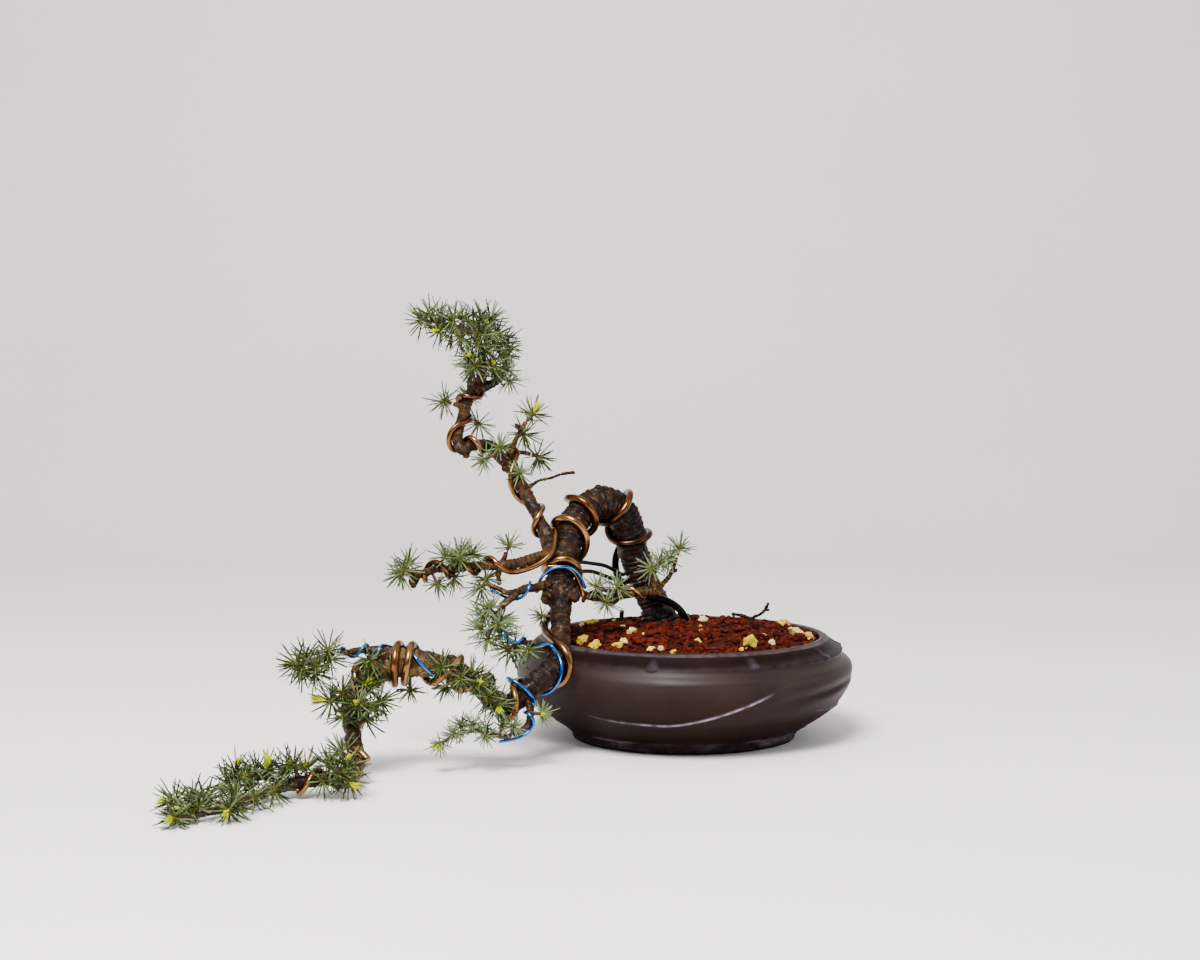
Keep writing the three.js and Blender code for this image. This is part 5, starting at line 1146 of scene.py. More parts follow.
def waxy_needle(looks):
    """Cedar needles, grown with a bloom of wax: a satin leaf, paler towards its tip and olive at its root."""
    material, add = new_material("waxy_needle")
    height = add("Attribute", attribute_name="height").outputs["Fac"]
    shade = add("Attribute", attribute_name="shade").outputs["Fac"]
    young = add("Attribute", attribute_name="young").outputs["Fac"]
    place = add("TexCoord").outputs["Object"]
    # The bloom is rubbed off in patches about 1.5 mm across.
    bloom = add("TexNoise", {"Vector": place, "Scale": 650, "Detail": 3})
    waxed = add("MapRange", {"Value": bloom}, span=(0.35, 0.65, -0.28, 0.28))
    amount = add("Math", {0: shade, 1: waxed}, operation="ADD", use_clamp=True)
    leaf = add("Mix", {"Factor": amount, "A": looks.green, "B": looks.blue}, data_type="RGBA")
    frosted = add("MapRange", {"Value": amount}, span=(0.2, 0.85, 0, 0.65))
    leaf = add("Mix", {"Factor": frosted, "A": leaf, "B": looks.frost}, data_type="RGBA")
    rooted = add("MapRange", {"Value": height}, span=(0.02, 0.36, 0.85, 0))
    leaf = add("Mix", {"Factor": rooted, "A": leaf, "B": looks.root}, data_type="RGBA")
    fresh = add("Mix", {"Factor": young, "A": leaf, "B": looks.lime}, data_type="RGBA")
    surface = add("BsdfPrincipled", {
        "Base Color": fresh, "Roughness": 0.5, "IOR": 1.45, "Specular IOR Level": 0.2})
    add("OutputMaterial", {"Surface": surface})
    return material


def spur_bark(looks):
    """Young cedar bark on spurs and shoots, ringed with old bud scales: matt and brown, darker between."""
    material, add = new_material("spur_bark")
    place = add("TexCoord").outputs["Object"]
    # Bud scales are about 1 mm long.
    scales = add("TexVoronoi", {"Vector": place, "Scale": 1100})
    shade = add("MapRange", {"Value": scales}, span=(0.1, 0.8, 1.35, 0.5))
    colour = add("Mix", {"Factor": 1, "A": looks.spur, "B": shade}, data_type="RGBA", blend_type="MULTIPLY")
    bump = add("Bump", {"Height": scales, "Strength": 0.5, "Distance": 0.0003})
    surface = add("BsdfPrincipled", {"Base Color": colour, "Roughness": 0.7, "Normal": bump})
    add("OutputMaterial", {"Surface": surface})
    return material


def spread_directions(count, axis, lowest, random):
    """Directions spread evenly round an axis, down to a lowest cosine from it, a little shaken."""
    turn = np.arange(count) * GOLDEN_TURN + random.uniform(0, 6.28)
    rise = 1 - (np.arange(count) + 0.5) / count * (1 - lowest)
    flat = np.sqrt(np.clip(1 - rise ** 2, 0, 1))
    side = unit(np.cross(axis, [0.31, 0.77, 0.55]))
    up = np.cross(axis, side)
    around = np.outer(np.cos(turn) * flat, side) + np.outer(np.sin(turn) * flat, up)
    return unit(around + np.outer(rise, axis) + random.normal(0, 0.09, (count, 3)))


def pot_radius(height):
    """The pot's outer radius at a height."""
    return read([(z, r) for r, z in OUTER_PROFILE[:-1]], height)


def soil_height(x, y):
    """Height of the mounded soil."""
    inside = np.clip(1 - (np.hypot(x, y) / MOUTH_RADIUS) ** 2, 0, 1)
    return SOIL_RIM_HEIGHT + SOIL_RISE * inside ** 0.8


def clear_of_pot(points):
    """Which points keep off the pot and the soil."""
    x, y, height = points.T
    radius = np.hypot(x, y)
    over_soil = height > soil_height(x, y) + POT_GAP
    off_pot = (height > RIM_HEIGHT + RIM_GAP) | (radius > pot_radius(height) + POT_GAP)
    return np.where(radius < MOUTH_EDGE, over_soil, off_pot)


def clear_of_rods(points, rods, clearance):
    """Which points keep off every rod."""
    nearest, radius = nearest_on_rods(points, rods)
    return (np.linalg.norm(points[:, None] - nearest, axis=2) > radius + clearance).all(axis=1)


def needle_lines(roots, ways, lengths, bend):
    """Centre lines of needles that leave their roots along ways and curve by bend."""
    share = np.array([*NEEDLE_RINGS, 1.0])
    bend = np.broadcast_to(bend, roots.shape)
    straight = roots[:, None] + ways[:, None] * (lengths[:, None] * share)[..., None]
    return straight + bend[:, None] * (lengths[:, None] * share ** 2)[..., None]


def needles_that_fit(roots, ways, lengths, bend, rods):
    """Keep the needles that meet neither wood, wire, soil, pot nor the surface below."""
    lines = needle_lines(roots, ways, lengths, bend)
    height = lines[:, :, 2]
    pressed = FLOOR_CLEARANCE + 0.02 * (height - FLOOR_CLEARANCE)
    lines[:, :, 2] = np.maximum(np.where(height < FLOOR_CLEARANCE, pressed, height), LOWEST_NEEDLE)
    fits = np.ones(len(roots), bool)
    for ring in range(2, len(NEEDLE_RINGS) + 1):
        fits &= clear_of_pot(lines[:, ring]) & clear_of_rods(lines[:, ring], rods, NEEDLE_GAP)
    return lines, fits


def add_needles(shape, lines, width, shade, young):
    """Four-sided tapered needles along their centre lines."""
    count = len(lines)
    if not count:
        return
    along = unit(lines[:, -1] - lines[:, 0])
    side = unit(np.cross(along, np.array([0.21, 0.53, 0.82])))
    up = np.cross(along, side)
    angles = np.linspace(0, 2 * np.pi, NEEDLE_SIDES, endpoint=False)
    out = side[:, None] * np.cos(angles)[:, None] + up[:, None] * np.sin(angles)[:, None]
    girth = 0.5 * width[:, None] * np.array(NEEDLE_GIRTH)
    rings = lines[:, :-1, None] + out[:, None] * girth[..., None, None]
    corners = np.concatenate([rings.reshape(count, -1, 3), lines[:, -1:]], axis=1)
    size = corners.shape[1]
    body = grid_faces(len(NEEDLE_RINGS), NEEDLE_SIDES)
    corner = np.arange(NEEDLE_SIDES)
    last = (len(NEEDLE_RINGS) - 1) * NEEDLE_SIDES
    tip = np.stack([last + corner, last + np.roll(corner, -1), np.full(NEEDLE_SIDES, size - 1)], axis=-1)
    first = (np.arange(count) * size)[:, None, None]
    height = np.concatenate([np.repeat(NEEDLE_RINGS, NEEDLE_SIDES), [1]])
    shape.add(corners.reshape(-1, 3), [(body + first).reshape(-1, 4), (tip + first).reshape(-1, 3)],
              height=np.tile(height, count), shade=np.repeat(shade, size), young=np.repeat(young, size))


def add_spur(shape, foot, centre, start, end, random):
    """A short woody spur, ringed with bud scales, from its foot to the needles."""
    length = np.linalg.norm(centre - foot)
    count = max(4, int(length / 0.5))
    share = np.linspace(0, 1, count)
    radii = start + (end - start) * share ** 1.5 + 0.14 * np.sin(np.arange(count) * 2.1)
    line = foot + np.outer(share, centre - foot)
    corners, faces, _ = tube(line, np.maximum(radii, 0.3), 8)
    shape.add(corners, faces, height=0, shade=random.random(), young=0)


def nearest_limb_point(limb, point, clearance):
    """The point on a limb's bark that is nearest to a point beside it."""
    line, radii, _, _ = limb_line(LIMBS[limb], 1)
    nearest = np.linalg.norm(line - point, axis=1).argmin()
    out = unit(point - line[nearest])
    return line[nearest] + out * (radii[nearest] + clearance)


def grow_spray(name, spray, number, looks, rods):
    """A spray's shoot, spurs, tufts of needles and pale new shoots, as one wood shape and one leaf shape."""
    random = np.random.default_rng(number)
    short, bloom = SPRAY_HABIT.get(name, USUAL_HABIT)
    size = looks.length * short
    width = looks.width * (0.55 + 0.45 * short)
    leaves = Shape("height", "shade", "young")
    wood = Shape("height", "shade", "young")
    core = np.array(spray.get("core", []), float)
    if len(core) and "carrier" in spray:
        root = nearest_limb_point(spray["carrier"], core[0, :3], SUNK)
        core = np.vstack([[*root, core[0, 3]], core])
    if len(core):
        line, radii, _, along = limb_line(core, 0.8)
        radii = radii * (1 + 0.08 * np.sin(along * 2.3))
        corners, faces, _ = tube(line, radii, 10)
        wood.add(corners, faces, height=0, shade=0.5, young=0)
        count = int(along[-1] / max(looks.shoot_spacing, 0.2))
        spots = random.uniform(0.1, 1, count) * (len(line) - 1)
        roots = smooth_line(line, spots)
        forward = unit(smooth_line(line, spots + 0.2) - smooth_line(line, spots - 0.2))
        out = unit(np.cross(forward, random.normal(0, 1, (count, 3))))
        ways = unit(out + forward * random.uniform(0.3, 0.9, (count, 1)))
        lengths = size * random.uniform(0.6, 0.95, count)
        lines, fits = needles_that_fit(roots, ways, lengths, forward * 0.12, rods)
        add_needles(leaves, lines[fits], width * random.uniform(0.85, 1, fits.sum()),
                    np.clip(random.normal(bloom, 0.25, fits.sum()), 0, 1), np.zeros(fits.sum()))
    for tuft in np.array(spray["tufts"], float):
        feet = [line[np.linalg.norm(line - tuft, axis=1).argmin()]] if len(core) else []
        if "carrier" in spray:
            feet.append(nearest_limb_point(spray["carrier"], tuft, SUNK))
        foot = min(feet, key=lambda place: np.linalg.norm(place - tuft))
        axis = unit(tuft - foot)
        add_spur(wood, foot, tuft, 1.0, SPUR_TIP, random)
        trial = int(looks.tuft_count * 1.5)
        ways = spread_directions(trial, axis, -0.62, random)
        lengths = size * random.uniform(0.78, 1.1, trial)
        roots = tuft + ways * (0.5 * SPUR_TIP) - axis * random.uniform(0, 1.6, (trial, 1))
        bend = axis * random.uniform(-0.05, 0.16, (trial, 1)) + random.normal(0, 0.03, (trial, 3))
        lines, fits = needles_that_fit(roots, ways, lengths, bend, rods)
        kept = random.permutation(np.flatnonzero(fits))[:looks.tuft_count]
        add_needles(leaves, lines[kept], width * random.uniform(0.85, 1.1, len(kept)),
                    np.clip(random.normal(bloom, 0.27, len(kept)), 0, 1), np.zeros(len(kept)))
    for bud in np.array(spray.get("buds", []), float):
        root, tip = bud[:3], bud[3:]
        axis = unit(tip - root)
        reach = np.linalg.norm(tip - root)
        # A new shoot is a tight brush of soft needles that opens only at its tip.
        add_spur(wood, root, root + axis * reach * 0.35, 0.7, 0.5, random)
        start = random.uniform(0, 0.6, (BUD_NEEDLES, 1))
        ways = spread_directions(BUD_NEEDLES, axis, 0.93, random)
        lengths = reach * (1.05 - start[:, 0]) * random.uniform(0.65, 1, BUD_NEEDLES)
        off = random.normal(0, 0.35, (BUD_NEEDLES, 3))
        lines, fits = needles_that_fit(root + axis * reach * start + off, ways, lengths, axis * 0.1, rods)
        add_needles(leaves, lines[fits], np.full(fits.sum(), 0.8), np.full(fits.sum(), 0.5),
                    random.uniform(0.85, 1, fits.sum()))
    return leaves, wood


class BONSAI_OT_needles(bpy.types.Operator):
    """Grow the sprays of blue-green needles on their spurs, with pale new shoots"""

    bl_idname = "bonsai.needles"
    bl_label = "Needles"

    def execute(self, context):
        looks = context.scene.bonsai_needles
        materials = [waxy_needle(looks), spur_bark(looks)]
        rods = np.concatenate(
            [wood_rods()] + [rods_of(path, radius) for radius, path in LAID_WIRES.values()])
        for number, (name, spray) in enumerate(SPRAYS.items(), FIRST_SEED):
            leaves, wood = grow_spray(name, spray, number, looks, rods)
            first_wood = sum(len(part) for part in leaves.faces)
            whole = Shape("height", "shade", "young")
            for part in (leaves, wood):
                if part.count:
                    values = {key: np.concatenate(kept) for key, kept in part.values.items()}
                    whole.add(np.concatenate(part.corners), part.faces, **values)
            made = whole.piece("spray_" + name, materials, "needles", "needles_" + name)
            index = np.zeros(len(made.data.polygons), np.int32)
            index[first_wood:] = 1
            made.data.polygons.foreach_set("material_index", index)
        return {"FINISHED"}


# Pot.
OUTER_PROFILE = [
    [FOOT_RADIUS - 1, 0], [FOOT_RADIUS, 5.5], [88, 13], [98, 20.5], [105.5, 27.5], [110.5, 35],
    [BELLY_RADIUS, 43], [111.5, 51], [108, 57.5], [101, 64.5], [95.5, RIM_HEIGHT],
    [MOUTH_RADIUS + 0.6, RIM_HEIGHT - 0.2],
]
INNER_PROFILE = [
    [MOUTH_RADIUS, 66], [98.5, 58.5], [104.5, 47.5], [102.5, 35.5], [91, 22], [FOOT_RADIUS - 1, FLOOR_HEIGHT],
]
POT_SIDES = 440
FOLD_HEIGHT = 2.3
FOLD_START = -128
FOLD_SPAN = 76
FOLD_LOWEST = 24
# A fold runs down to its lowest place over its first degrees, and climbs from there.
FOLD_TURN = 30
# How far a fold's ledge fades below and above its edge.
FOLD_UNDER = 13
FOLD_OVER = 1.1
# How strongly a fold's edge is painted with a pale highlight, by degrees from its start.
EDGE_HIGHLIGHT = [(2, 0.1), (16, 0.4), (30, 0.9), (59, 1), (66, 0)]
# Angle and height of the first stud in each row, and how far a stud stands out for its radius.
UPPER_STUDS = (-103, 62)
LOWER_STUDS = (-87, 6.6)
STUD_DOME = 0.46
# Heights between which the wall has its relief and painted highlights, the foot is scuffed and lightened with
# painted light, and the rim is paler.
BODY_BAND = (8, 66.5)
FOOT_BAND = (1.5, 8)
RIM_BAND = (66.8, 68.2)
DRAIN_SIDES = 32


class PotSettings(bpy.types.PropertyGroup):
    """Sizes and colours of the pot."""

    stud: size_property("Stud radius", "Radius of the round studs under the rim and above the foot", 4.4)
    clay: colour_property("Fired clay", "Unglazed stoneware", 0x221411)
    # Painted highlight: the pale colour of the folds' edges, the ledge and the studs, also used for the
    # scuffs on the foot and the paler rim.
    highlight_and_wear: colour_property("Burnished edge", "Paler clay along the folds' edges", 0x9A90A2)
    smoke: colour_property("Smoked clay", "Darkest clay, in the hollows", 0x180C09)


def grey_stops(rows):
    """A ramp's stops from rows of place and grey level."""
    return [(place, (level,) * 3) for place, level in rows]


def smoked_stoneware(looks):
    """Unglazed stoneware, thrown, burnished and smoke-fired: dark satin clay with firing clouds, painted
    light and shade by height, and a painted highlight along its sharp edges.
    """
    material, add = new_material("smoked_stoneware")
    place = add("TexCoord").outputs["Object"]
    # Firing clouds are about 40 mm across, clay grit about 0.8 mm.
    clouds = add("TexNoise", {"Vector": place, "Scale": 24, "Detail": 5})
    grit = add("TexNoise", {"Vector": place, "Scale": 1200, "Detail": 2})
    soft = add("TexNoise", {"Vector": place, "Scale": 160, "Detail": 3})
    crest = add("Attribute", attribute_name="crest").outputs["Fac"]
    clay = add("ValToRGB", {"Fac": clouds}, stops=[(0.32, looks.smoke), (0.66, looks.clay)])
    # Painted light and shade by height: lighter on the foot and on the rim's top, darker low on the body and
    # in the hollow under the rim. Only the shoulder is burnished.
    up = add("SeparateXYZ", {"Vector": place}).outputs["Z"]
    share = add("MapRange", {"Value": up}, span=(0, RIM_HEIGHT * MM))
    light_and_shade_by_height = add("ValToRGB", {"Fac": share}, stops=grey_stops(
        [(0.1, 1.3), (1, 1.2), (0.16, 0.7), (0.55, 1), (0.84, 1), (0.9, 0.5), (0.95, 0.5)]))
    clay = add("Mix", {"Factor": 1, "A": clay, "B": light_and_shade_by_height}, data_type="RGBA", blend_type="MULTIPLY")
    gloss = add("ValToRGB", {"Fac": share}, stops=grey_stops(
        [(0.3, 0.02), (1, 0.1), (0.6, 0.1), (0.72, 0.22), (0.83, 0.22), (0.88, 0.04), (0.96, 0.04)]))
    # Painted highlight: the pale colour is mixed in where the crest attribute is high, in soft patches.
    paled = add("MapRange", {"Value": soft}, span=(0.25, 0.6))
    edge = add("Math", {0: paled, 1: crest}, operation="MULTIPLY")
    colour = add("Mix", {"Factor": edge, "A": clay, "B": looks.highlight_and_wear}, data_type="RGBA")
    rough = add("MapRange", {"Value": clouds}, span=(0.3, 0.7, 0.44, 0.54))
    bump = add("Bump", {"Height": soft, "Strength": 0.12, "Distance": 0.0008})
    fine = add("Bump", {"Height": grit, "Strength": 0.1, "Distance": 0.0002, "Normal": bump})
    surface = add("BsdfPrincipled", {
        "Base Color": colour, "Roughness": rough, "IOR": 1.5, "Specular IOR Level": gloss, "Normal": fine})
    add("OutputMaterial", {"Surface": surface})
    return material


def fold_relief(angle, height):
    """The ledges that sweep up round the body from above the foot, and how strongly each place near an edge
    is painted with a pale highlight.
    """
    pitch = 360 / FOLD_COUNT
    relief = np.zeros_like(angle)
    edge = np.zeros_like(angle)
    for lap in (0, 1):
        turn = (angle - FOLD_START) % pitch + lap * pitch
        early = FOLD_LOWEST + 3.5 * (np.clip(FOLD_TURN - turn, 0, FOLD_TURN) / FOLD_TURN) ** 2
        late = FOLD_LOWEST + 56 * (np.clip(turn - FOLD_TURN, 0, None) / 70) ** 1.5
        below = np.where(turn < FOLD_TURN, early, late) - height
        fade = np.sin(np.pi * np.clip(turn / FOLD_SPAN, 0, 1)) ** 0.6
        ledge = np.exp(-np.abs(below) / np.where(below >= 0, FOLD_UNDER, FOLD_OVER))
        there = turn <= FOLD_SPAN
        relief = np.maximum(relief, np.where(there, FOLD_HEIGHT * fade * ledge, 0))
        line = bell(below - 0.3, 0.6) * read(EDGE_HIGHLIGHT, turn)
        edge = np.maximum(edge, np.where(there, line, 0))
    return relief, edge


def shoulder_relief(angle, height):
    """The hollow band under the rim, the ledge that closes it and the groove below, deepest at the right."""
    depth = 1 + 1.1 * np.cos(np.radians(angle))
    hollow = 0.75 * bell(height - 60.2, 1.4) - 0.7 * bell(height - 63.6, 2.2)
    return depth * (hollow - 0.75 * bell(height - 56.2, 2.4) + 0.5 * bell(height - 51.5, 3.5))


def drape_relief(angle, height):
    """The broad soft fold on the right, under the groove where the shoulder hangs over it."""
    there = np.sin(np.pi * np.clip((angle + 66) / 76, 0, 1)) ** 2
    fold = 1.7 * bell(height - 30.5 - 0.34 * (angle + 50), 5.5)
    groove = -1.7 * bell(height - 41 - 0.12 * (angle + 30), 2.4)
    lip = 0.9 * bell(height - 46.5 - 0.12 * (angle + 30), 3)
    return there * (fold + groove + lip)


def profile_line(points, corners, step):
    """A pot profile as a smooth line with sharp corners where they are named."""
    parts = []
    for start, end in zip(corners[:-1], corners[1:]):
        stretch = np.array(points[start:end + 1], float)
        places, _ = even_places(np.column_stack([stretch, np.zeros(len(stretch))]), step)
        parts.append(smooth_line(stretch, places)[:-1] if end < corners[-1] else smooth_line(stretch, places))
    return np.concatenate(parts)


def stud_relief(angle, radius, height, start, level, size):
    """A ring of round studs pressed on the wall, as low soft domes."""
    pitch = 360 / STUD_COUNT
    turn = (angle - start + pitch / 2) % pitch - pitch / 2
    away = np.hypot(np.radians(turn) * radius, height - level) / size
    return STUD_DOME * size * np.clip(1 - away ** 2, 0, 1) ** 1.5


def floor_with_drains(shape, first_ring, last_ring):
    """The pot's base between its lowest outer and inner rings, with its drain holes."""
    turn = np.linspace(0, 2 * np.pi, DRAIN_SIDES, endpoint=False)
    holes = []
    for angle in np.radians(DRAIN_ANGLES):
        middle = DRAIN_DISTANCE * np.array([math.cos(angle), math.sin(angle)])
        holes.append(middle + DRAIN_RADIUS * np.column_stack([np.cos(turn), np.sin(turn)]))
    up = len(holes) * DRAIN_SIDES
    low = shape.count
    for height in (0, FLOOR_HEIGHT):
        for hole in holes:
            shape.add(np.column_stack([hole, np.full(DRAIN_SIDES, height)]), [], crest=0)
    corners = np.concatenate(shape.corners)[:, :2]
    for ring, first_hole, faces_up in ((first_ring, low, False), (last_ring, low + up, True)):
        loops = [[mathutils.Vector((x, y, 0)) for x, y in line] for line in (corners[ring], *holes)]
        index = np.concatenate([ring, first_hole + np.arange(up)])
        triangles = index[np.array(mathutils.geometry.tessellate_polygon(loops))]
        a, b, c = (corners[triangles[:, k]] for k in range(3))
        wrong = ((b - a)[:, 0] * (c - a)[:, 1] - (b - a)[:, 1] * (c - a)[:, 0] > 0) != faces_up
        triangles[wrong] = triangles[wrong][:, ::-1]
        shape.faces.append(triangles)
    for first in range(low, low + up, DRAIN_SIDES):
        corner = first + np.arange(DRAIN_SIDES)
        after = np.roll(corner, -1)
        shape.faces.append(np.stack([after, corner, corner + up, after + up], -1))


def between(values, band):
    """Which values lie inside a band."""
    return (values > band[0]) & (values < band[1])


def pot_wall(looks):
    """The pot's rings from the foot over the rim to the inner floor: corners, painted highlights and scuffs,
    and their count.
    """
    outer = profile_line(OUTER_PROFILE, [0, 1, 9, 11], 0.56)
    rows = np.concatenate([outer, profile_line(INNER_PROFILE, [0, 5], 3)])
    angle, radius = np.meshgrid(np.linspace(-180, 180, POT_SIDES, endpoint=False), rows[:, 0])
    turn = np.radians(angle)
    height = np.repeat(rows[:, 1:], POT_SIDES, axis=1)
    outside = (np.arange(len(rows)) < len(outer))[:, None]
    body = outside & between(height, BODY_BAND) & (radius > FOOT_RADIUS + 2)
    places = on_circle(radius, turn, height).reshape(-1, 3)
    relief, edge = fold_relief(angle, height)
    relief += shoulder_relief(angle, height)
    relief += stud_relief(angle, radius, height, *UPPER_STUDS, looks.stud)
    relief += drape_relief(angle, height)
    # The thrower's hands left the wall a little uneven, most of all near the foot.
    swell = read([(26, 0.9), (40, 0.4)], height.ravel())
    waves = swell * grain(places / 22, 11) + 0.08 * grain(places / (60, 60, 2.2), 12)
    radius = radius + np.where(body, relief + waves.reshape(radius.shape) - 0.3, 0)
    low = stud_relief(angle, radius, height, *LOWER_STUDS, looks.stud)
    radius = radius + np.where(outside & (height > 1), low, 0)
    scuffs = np.clip(grain(places / (14, 14, 4), 13), 0, 1).reshape(radius.shape)
    studs = stud_relief(angle, radius, height, *UPPER_STUDS, looks.stud)
    # Painted highlight along the folds' edges, the ledge and the tops of the studs; on the foot, scuffs over
    # a little painted light.
    paled = 0.9 * edge + 0.03 * bell(height - 60, 1.3) + 0.04 * studs
    crest = np.where(between(height, FOOT_BAND), 0.04 + 0.3 * scuffs, 0)
    crest = np.where(between(height, RIM_BAND), 0.1, np.where(body, paled, crest))
    return on_circle(radius, turn, height).reshape(-1, 3), crest.ravel(), len(rows)


def moulded_polyethylene():
    """Polyethylene mesh, injection moulded: a dull dark plastic with a fine satin texture."""
    material, add = new_material("moulded_polyethylene")
    place = add("TexCoord").outputs["Object"]
    # The mould's texture is finer than the render shows, so it is drawn at 1 mm.
    satin = add("TexNoise", {"Vector": place, "Scale": 900, "Detail": 2})
    shade = add("ValToRGB", {"Fac": satin}, stops=[(0.3, linear(0x1D1F1E)), (0.7, linear(0x2E312F))])
    bump = add("Bump", {"Height": satin, "Strength": 0.2, "Distance": 0.0002})
    surface = add("BsdfPrincipled", {"Base Color": shade, "Roughness": 0.55, "Normal": bump})
    add("OutputMaterial", {"Surface": surface})
    return material


class BONSAI_OT_pot(bpy.types.Operator):
    """Throw the round pot with its rim, folds, studs and foot, and give the drainage mesh over its drain
    holes a plastic material
    """

    bl_idname = "bonsai.pot"
    bl_label = "Pot and drainage mesh"

    def execute(self, context):
        looks = context.scene.bonsai_pot
        corners, crest, rings = pot_wall(looks)
        pot = Shape("crest")
        pot.add(corners, [grid_faces(rings, POT_SIDES)], crest=crest)
        ring = np.arange(POT_SIDES)
        floor_with_drains(pot, ring, (rings - 1) * POT_SIDES + ring)
        pot.piece("thrown_pot", [smoked_stoneware(looks)], "pot", "pot", crease=40)
        plastic = moulded_polyethylene()
        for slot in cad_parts["drainage_mesh"].material_slots:
            slot.link = "OBJECT"
            slot.material = plastic
        return {"FINISHED"}


# Soil.
SOIL_SEED = 7
SOIL_RINGS = 46
SOIL_SIDES = 120
# Radius and height of the soil's side and bottom, down the pot's wall and over the mesh.
SOIL_WALL = [
    (97.8, 58.2), (103.8, 47.4), (101.8, 36), (90.4, 22.5), (74.8, 14.2), (47, 13.8), (47, 14.9), (0.5, 14.9),
]
# What granules are made of, as a place in the material's ramp, and how common each kind is.
KINDS = [0.1, 0.3, 0.45, 0.6, 0.7, 0.93]
KIND_SHARES = [0.17, 0.32, 0.27, 0.167, 0.07, 0.003]
PUMICE_KIND = 0.86
BED_KIND = 0.25
STICK_KIND = 0.04
# Where the trunk and its wire leave the soil: x, y and radius without granules.
BARE_SPOTS = ((-13, 12, 14.5), (6, 4, 3.4))


class SoilSettings(bpy.types.PropertyGroup):
    """Counts, sizes and colours of the soil."""

    count: bpy.props.IntProperty(
        name="Granules", description="Granules on the soil's surface", default=2100, min=100, max=3000)
    smallest: size_property("Smallest granule", "Width of the finest granules", 2.4)
    largest: size_property("Largest granule", "Width of the coarsest granules", 6.4)
    lava: colour_property("Red lava", "Volcanic granules", 0x340D06)
    bright: colour_property("Bright lava", "Dry red granules", 0x50190A)
    clay: colour_property("Dark clay", "Baked clay granules", 0x190605)
    pumice: colour_property("Pumice", "Yellow volcanic stones", 0xBE9F1C)
    cream: colour_property("Pale pumice", "Palest volcanic stones", 0xDDBE84)


def volcanic_granules(looks):
    """Crushed lava, baked clay and pumice, sieved and damp: rough grains, each of one colour."""
    material, add = new_material("volcanic_granules")
    kind = add("Attribute", attribute_name="kind").outputs["Fac"]
    place = add("TexCoord").outputs["Object"]
    # Pores are about 0.5 mm across, drawn at 0.9 mm.
    pores = add("TexVoronoi", {"Vector": place, "Scale": 1100})
    dust = add("TexNoise", {"Vector": place, "Scale": 700, "Detail": 4})
    mix = add("ValToRGB", {"Fac": kind}, stops=[
        (0, looks.clay), (1, looks.cream), (0.28, looks.lava), (0.62, looks.bright),
        (0.8, looks.bright), (0.84, looks.pumice), (0.92, looks.pumice)])
    shade = add("MapRange", {"Value": dust}, span=(0.3, 0.7, 0.6, 1.3))
    colour = add("Mix", {"Factor": 1, "A": mix, "B": shade}, data_type="RGBA", blend_type="MULTIPLY")
    bump = add("Bump", {"Height": pores, "Strength": 0.6, "Distance": 0.0005})
    surface = add("BsdfPrincipled", {
        "Base Color": colour, "Roughness": 0.85, "Specular IOR Level": 0.06, "Normal": bump})
    add("OutputMaterial", {"Surface": surface})
    return material


def crushed_stones(random, count, fineness, roughness):
    """A few broken stone shapes about the origin, one unit wide, as corner arrays with shared faces."""
    ball = bmesh.new()
    bmesh.ops.create_icosphere(ball, subdivisions=fineness, radius=0.5)
    corners = np.array([corner.co for corner in ball.verts])
    faces = np.array([[corner.index for corner in face.verts] for face in ball.faces])
    ball.free()
    shapes = []
    for _ in range(count):
        cut = corners.copy()
        for _ in range(12):
            plane = unit(random.normal(0, 1, 3))
            depth = random.uniform(0.27, 0.4)
            over = cut @ plane - depth
            cut -= np.outer(np.clip(over, 0, None), plane)
        cut *= 1 + roughness * grain(cut * 5 + random.uniform(0, 90, 3), 21)[:, None]
        shapes.append(cut * random.uniform(0.75, 1.1, 3))
    return shapes, faces


def random_turn(random):
    """A random rotation matrix."""
    w, x, y, z = unit(random.normal(0, 1, 4))
    return np.array([
        [1 - 2 * (y * y + z * z), 2 * (x * y - w * z), 2 * (x * z + w * y)],
        [2 * (x * y + w * z), 1 - 2 * (x * x + z * z), 2 * (y * z - w * x)],
        [2 * (x * z - w * y), 2 * (y * z + w * x), 1 - 2 * (x * x + y * y)]])


def soil_bed(soil):
    """The closed body of the soil, under its loose granules."""
    reach = np.linspace(0.02, 1, SOIL_RINGS) * (MOUTH_RADIUS - 0.6)
    turn = np.linspace(0, 2 * np.pi, SOIL_SIDES, endpoint=False)
    x = np.outer(reach, np.cos(turn)).ravel()
    y = np.outer(reach, np.sin(turn)).ravel()
    places = np.column_stack([x, y, soil_height(x, y) - 1.2])
    places[:, 2] += 0.8 * grain(places / 2.5, 31)
    wall = [on_circle(radius, turn, np.full(SOIL_SIDES, height)) for radius, height in SOIL_WALL]
    faces = grid_faces(SOIL_RINGS + len(SOIL_WALL), SOIL_SIDES)[:, ::-1]
    soil.add(np.concatenate([places, *wall]), [faces], kind=BED_KIND)


def scattered_stones(looks, random):
    """Every stone's place, width, kind and lift: first the pumice that was read one by one, then granules."""
    stones = [(x, y, 1.05 * size, PUMICE_KIND + 0.14 * cream, 0.1) for x, y, size, cream in PUMICE]
    while len(stones) < looks.count + len(PUMICE):
        radius = (MOUTH_RADIUS - 2.2) * math.sqrt(random.random())
        angle = random.uniform(0, 2 * math.pi)
        size = looks.smallest + (looks.largest - looks.smallest) * random.random() ** 1.7
        kind = random.choice(KINDS, p=KIND_SHARES)
        x, y = radius * math.cos(angle), radius * math.sin(angle)
        # The granules are made brighter at the front left.
        dry = 0.16 * math.exp(-((x + 25) ** 2 + (y + 55) ** 2) / 1800)
        stones.append((x, y, size, min(kind + dry, 0.75) if kind < 0.9 else kind, 0.0))
    return stones


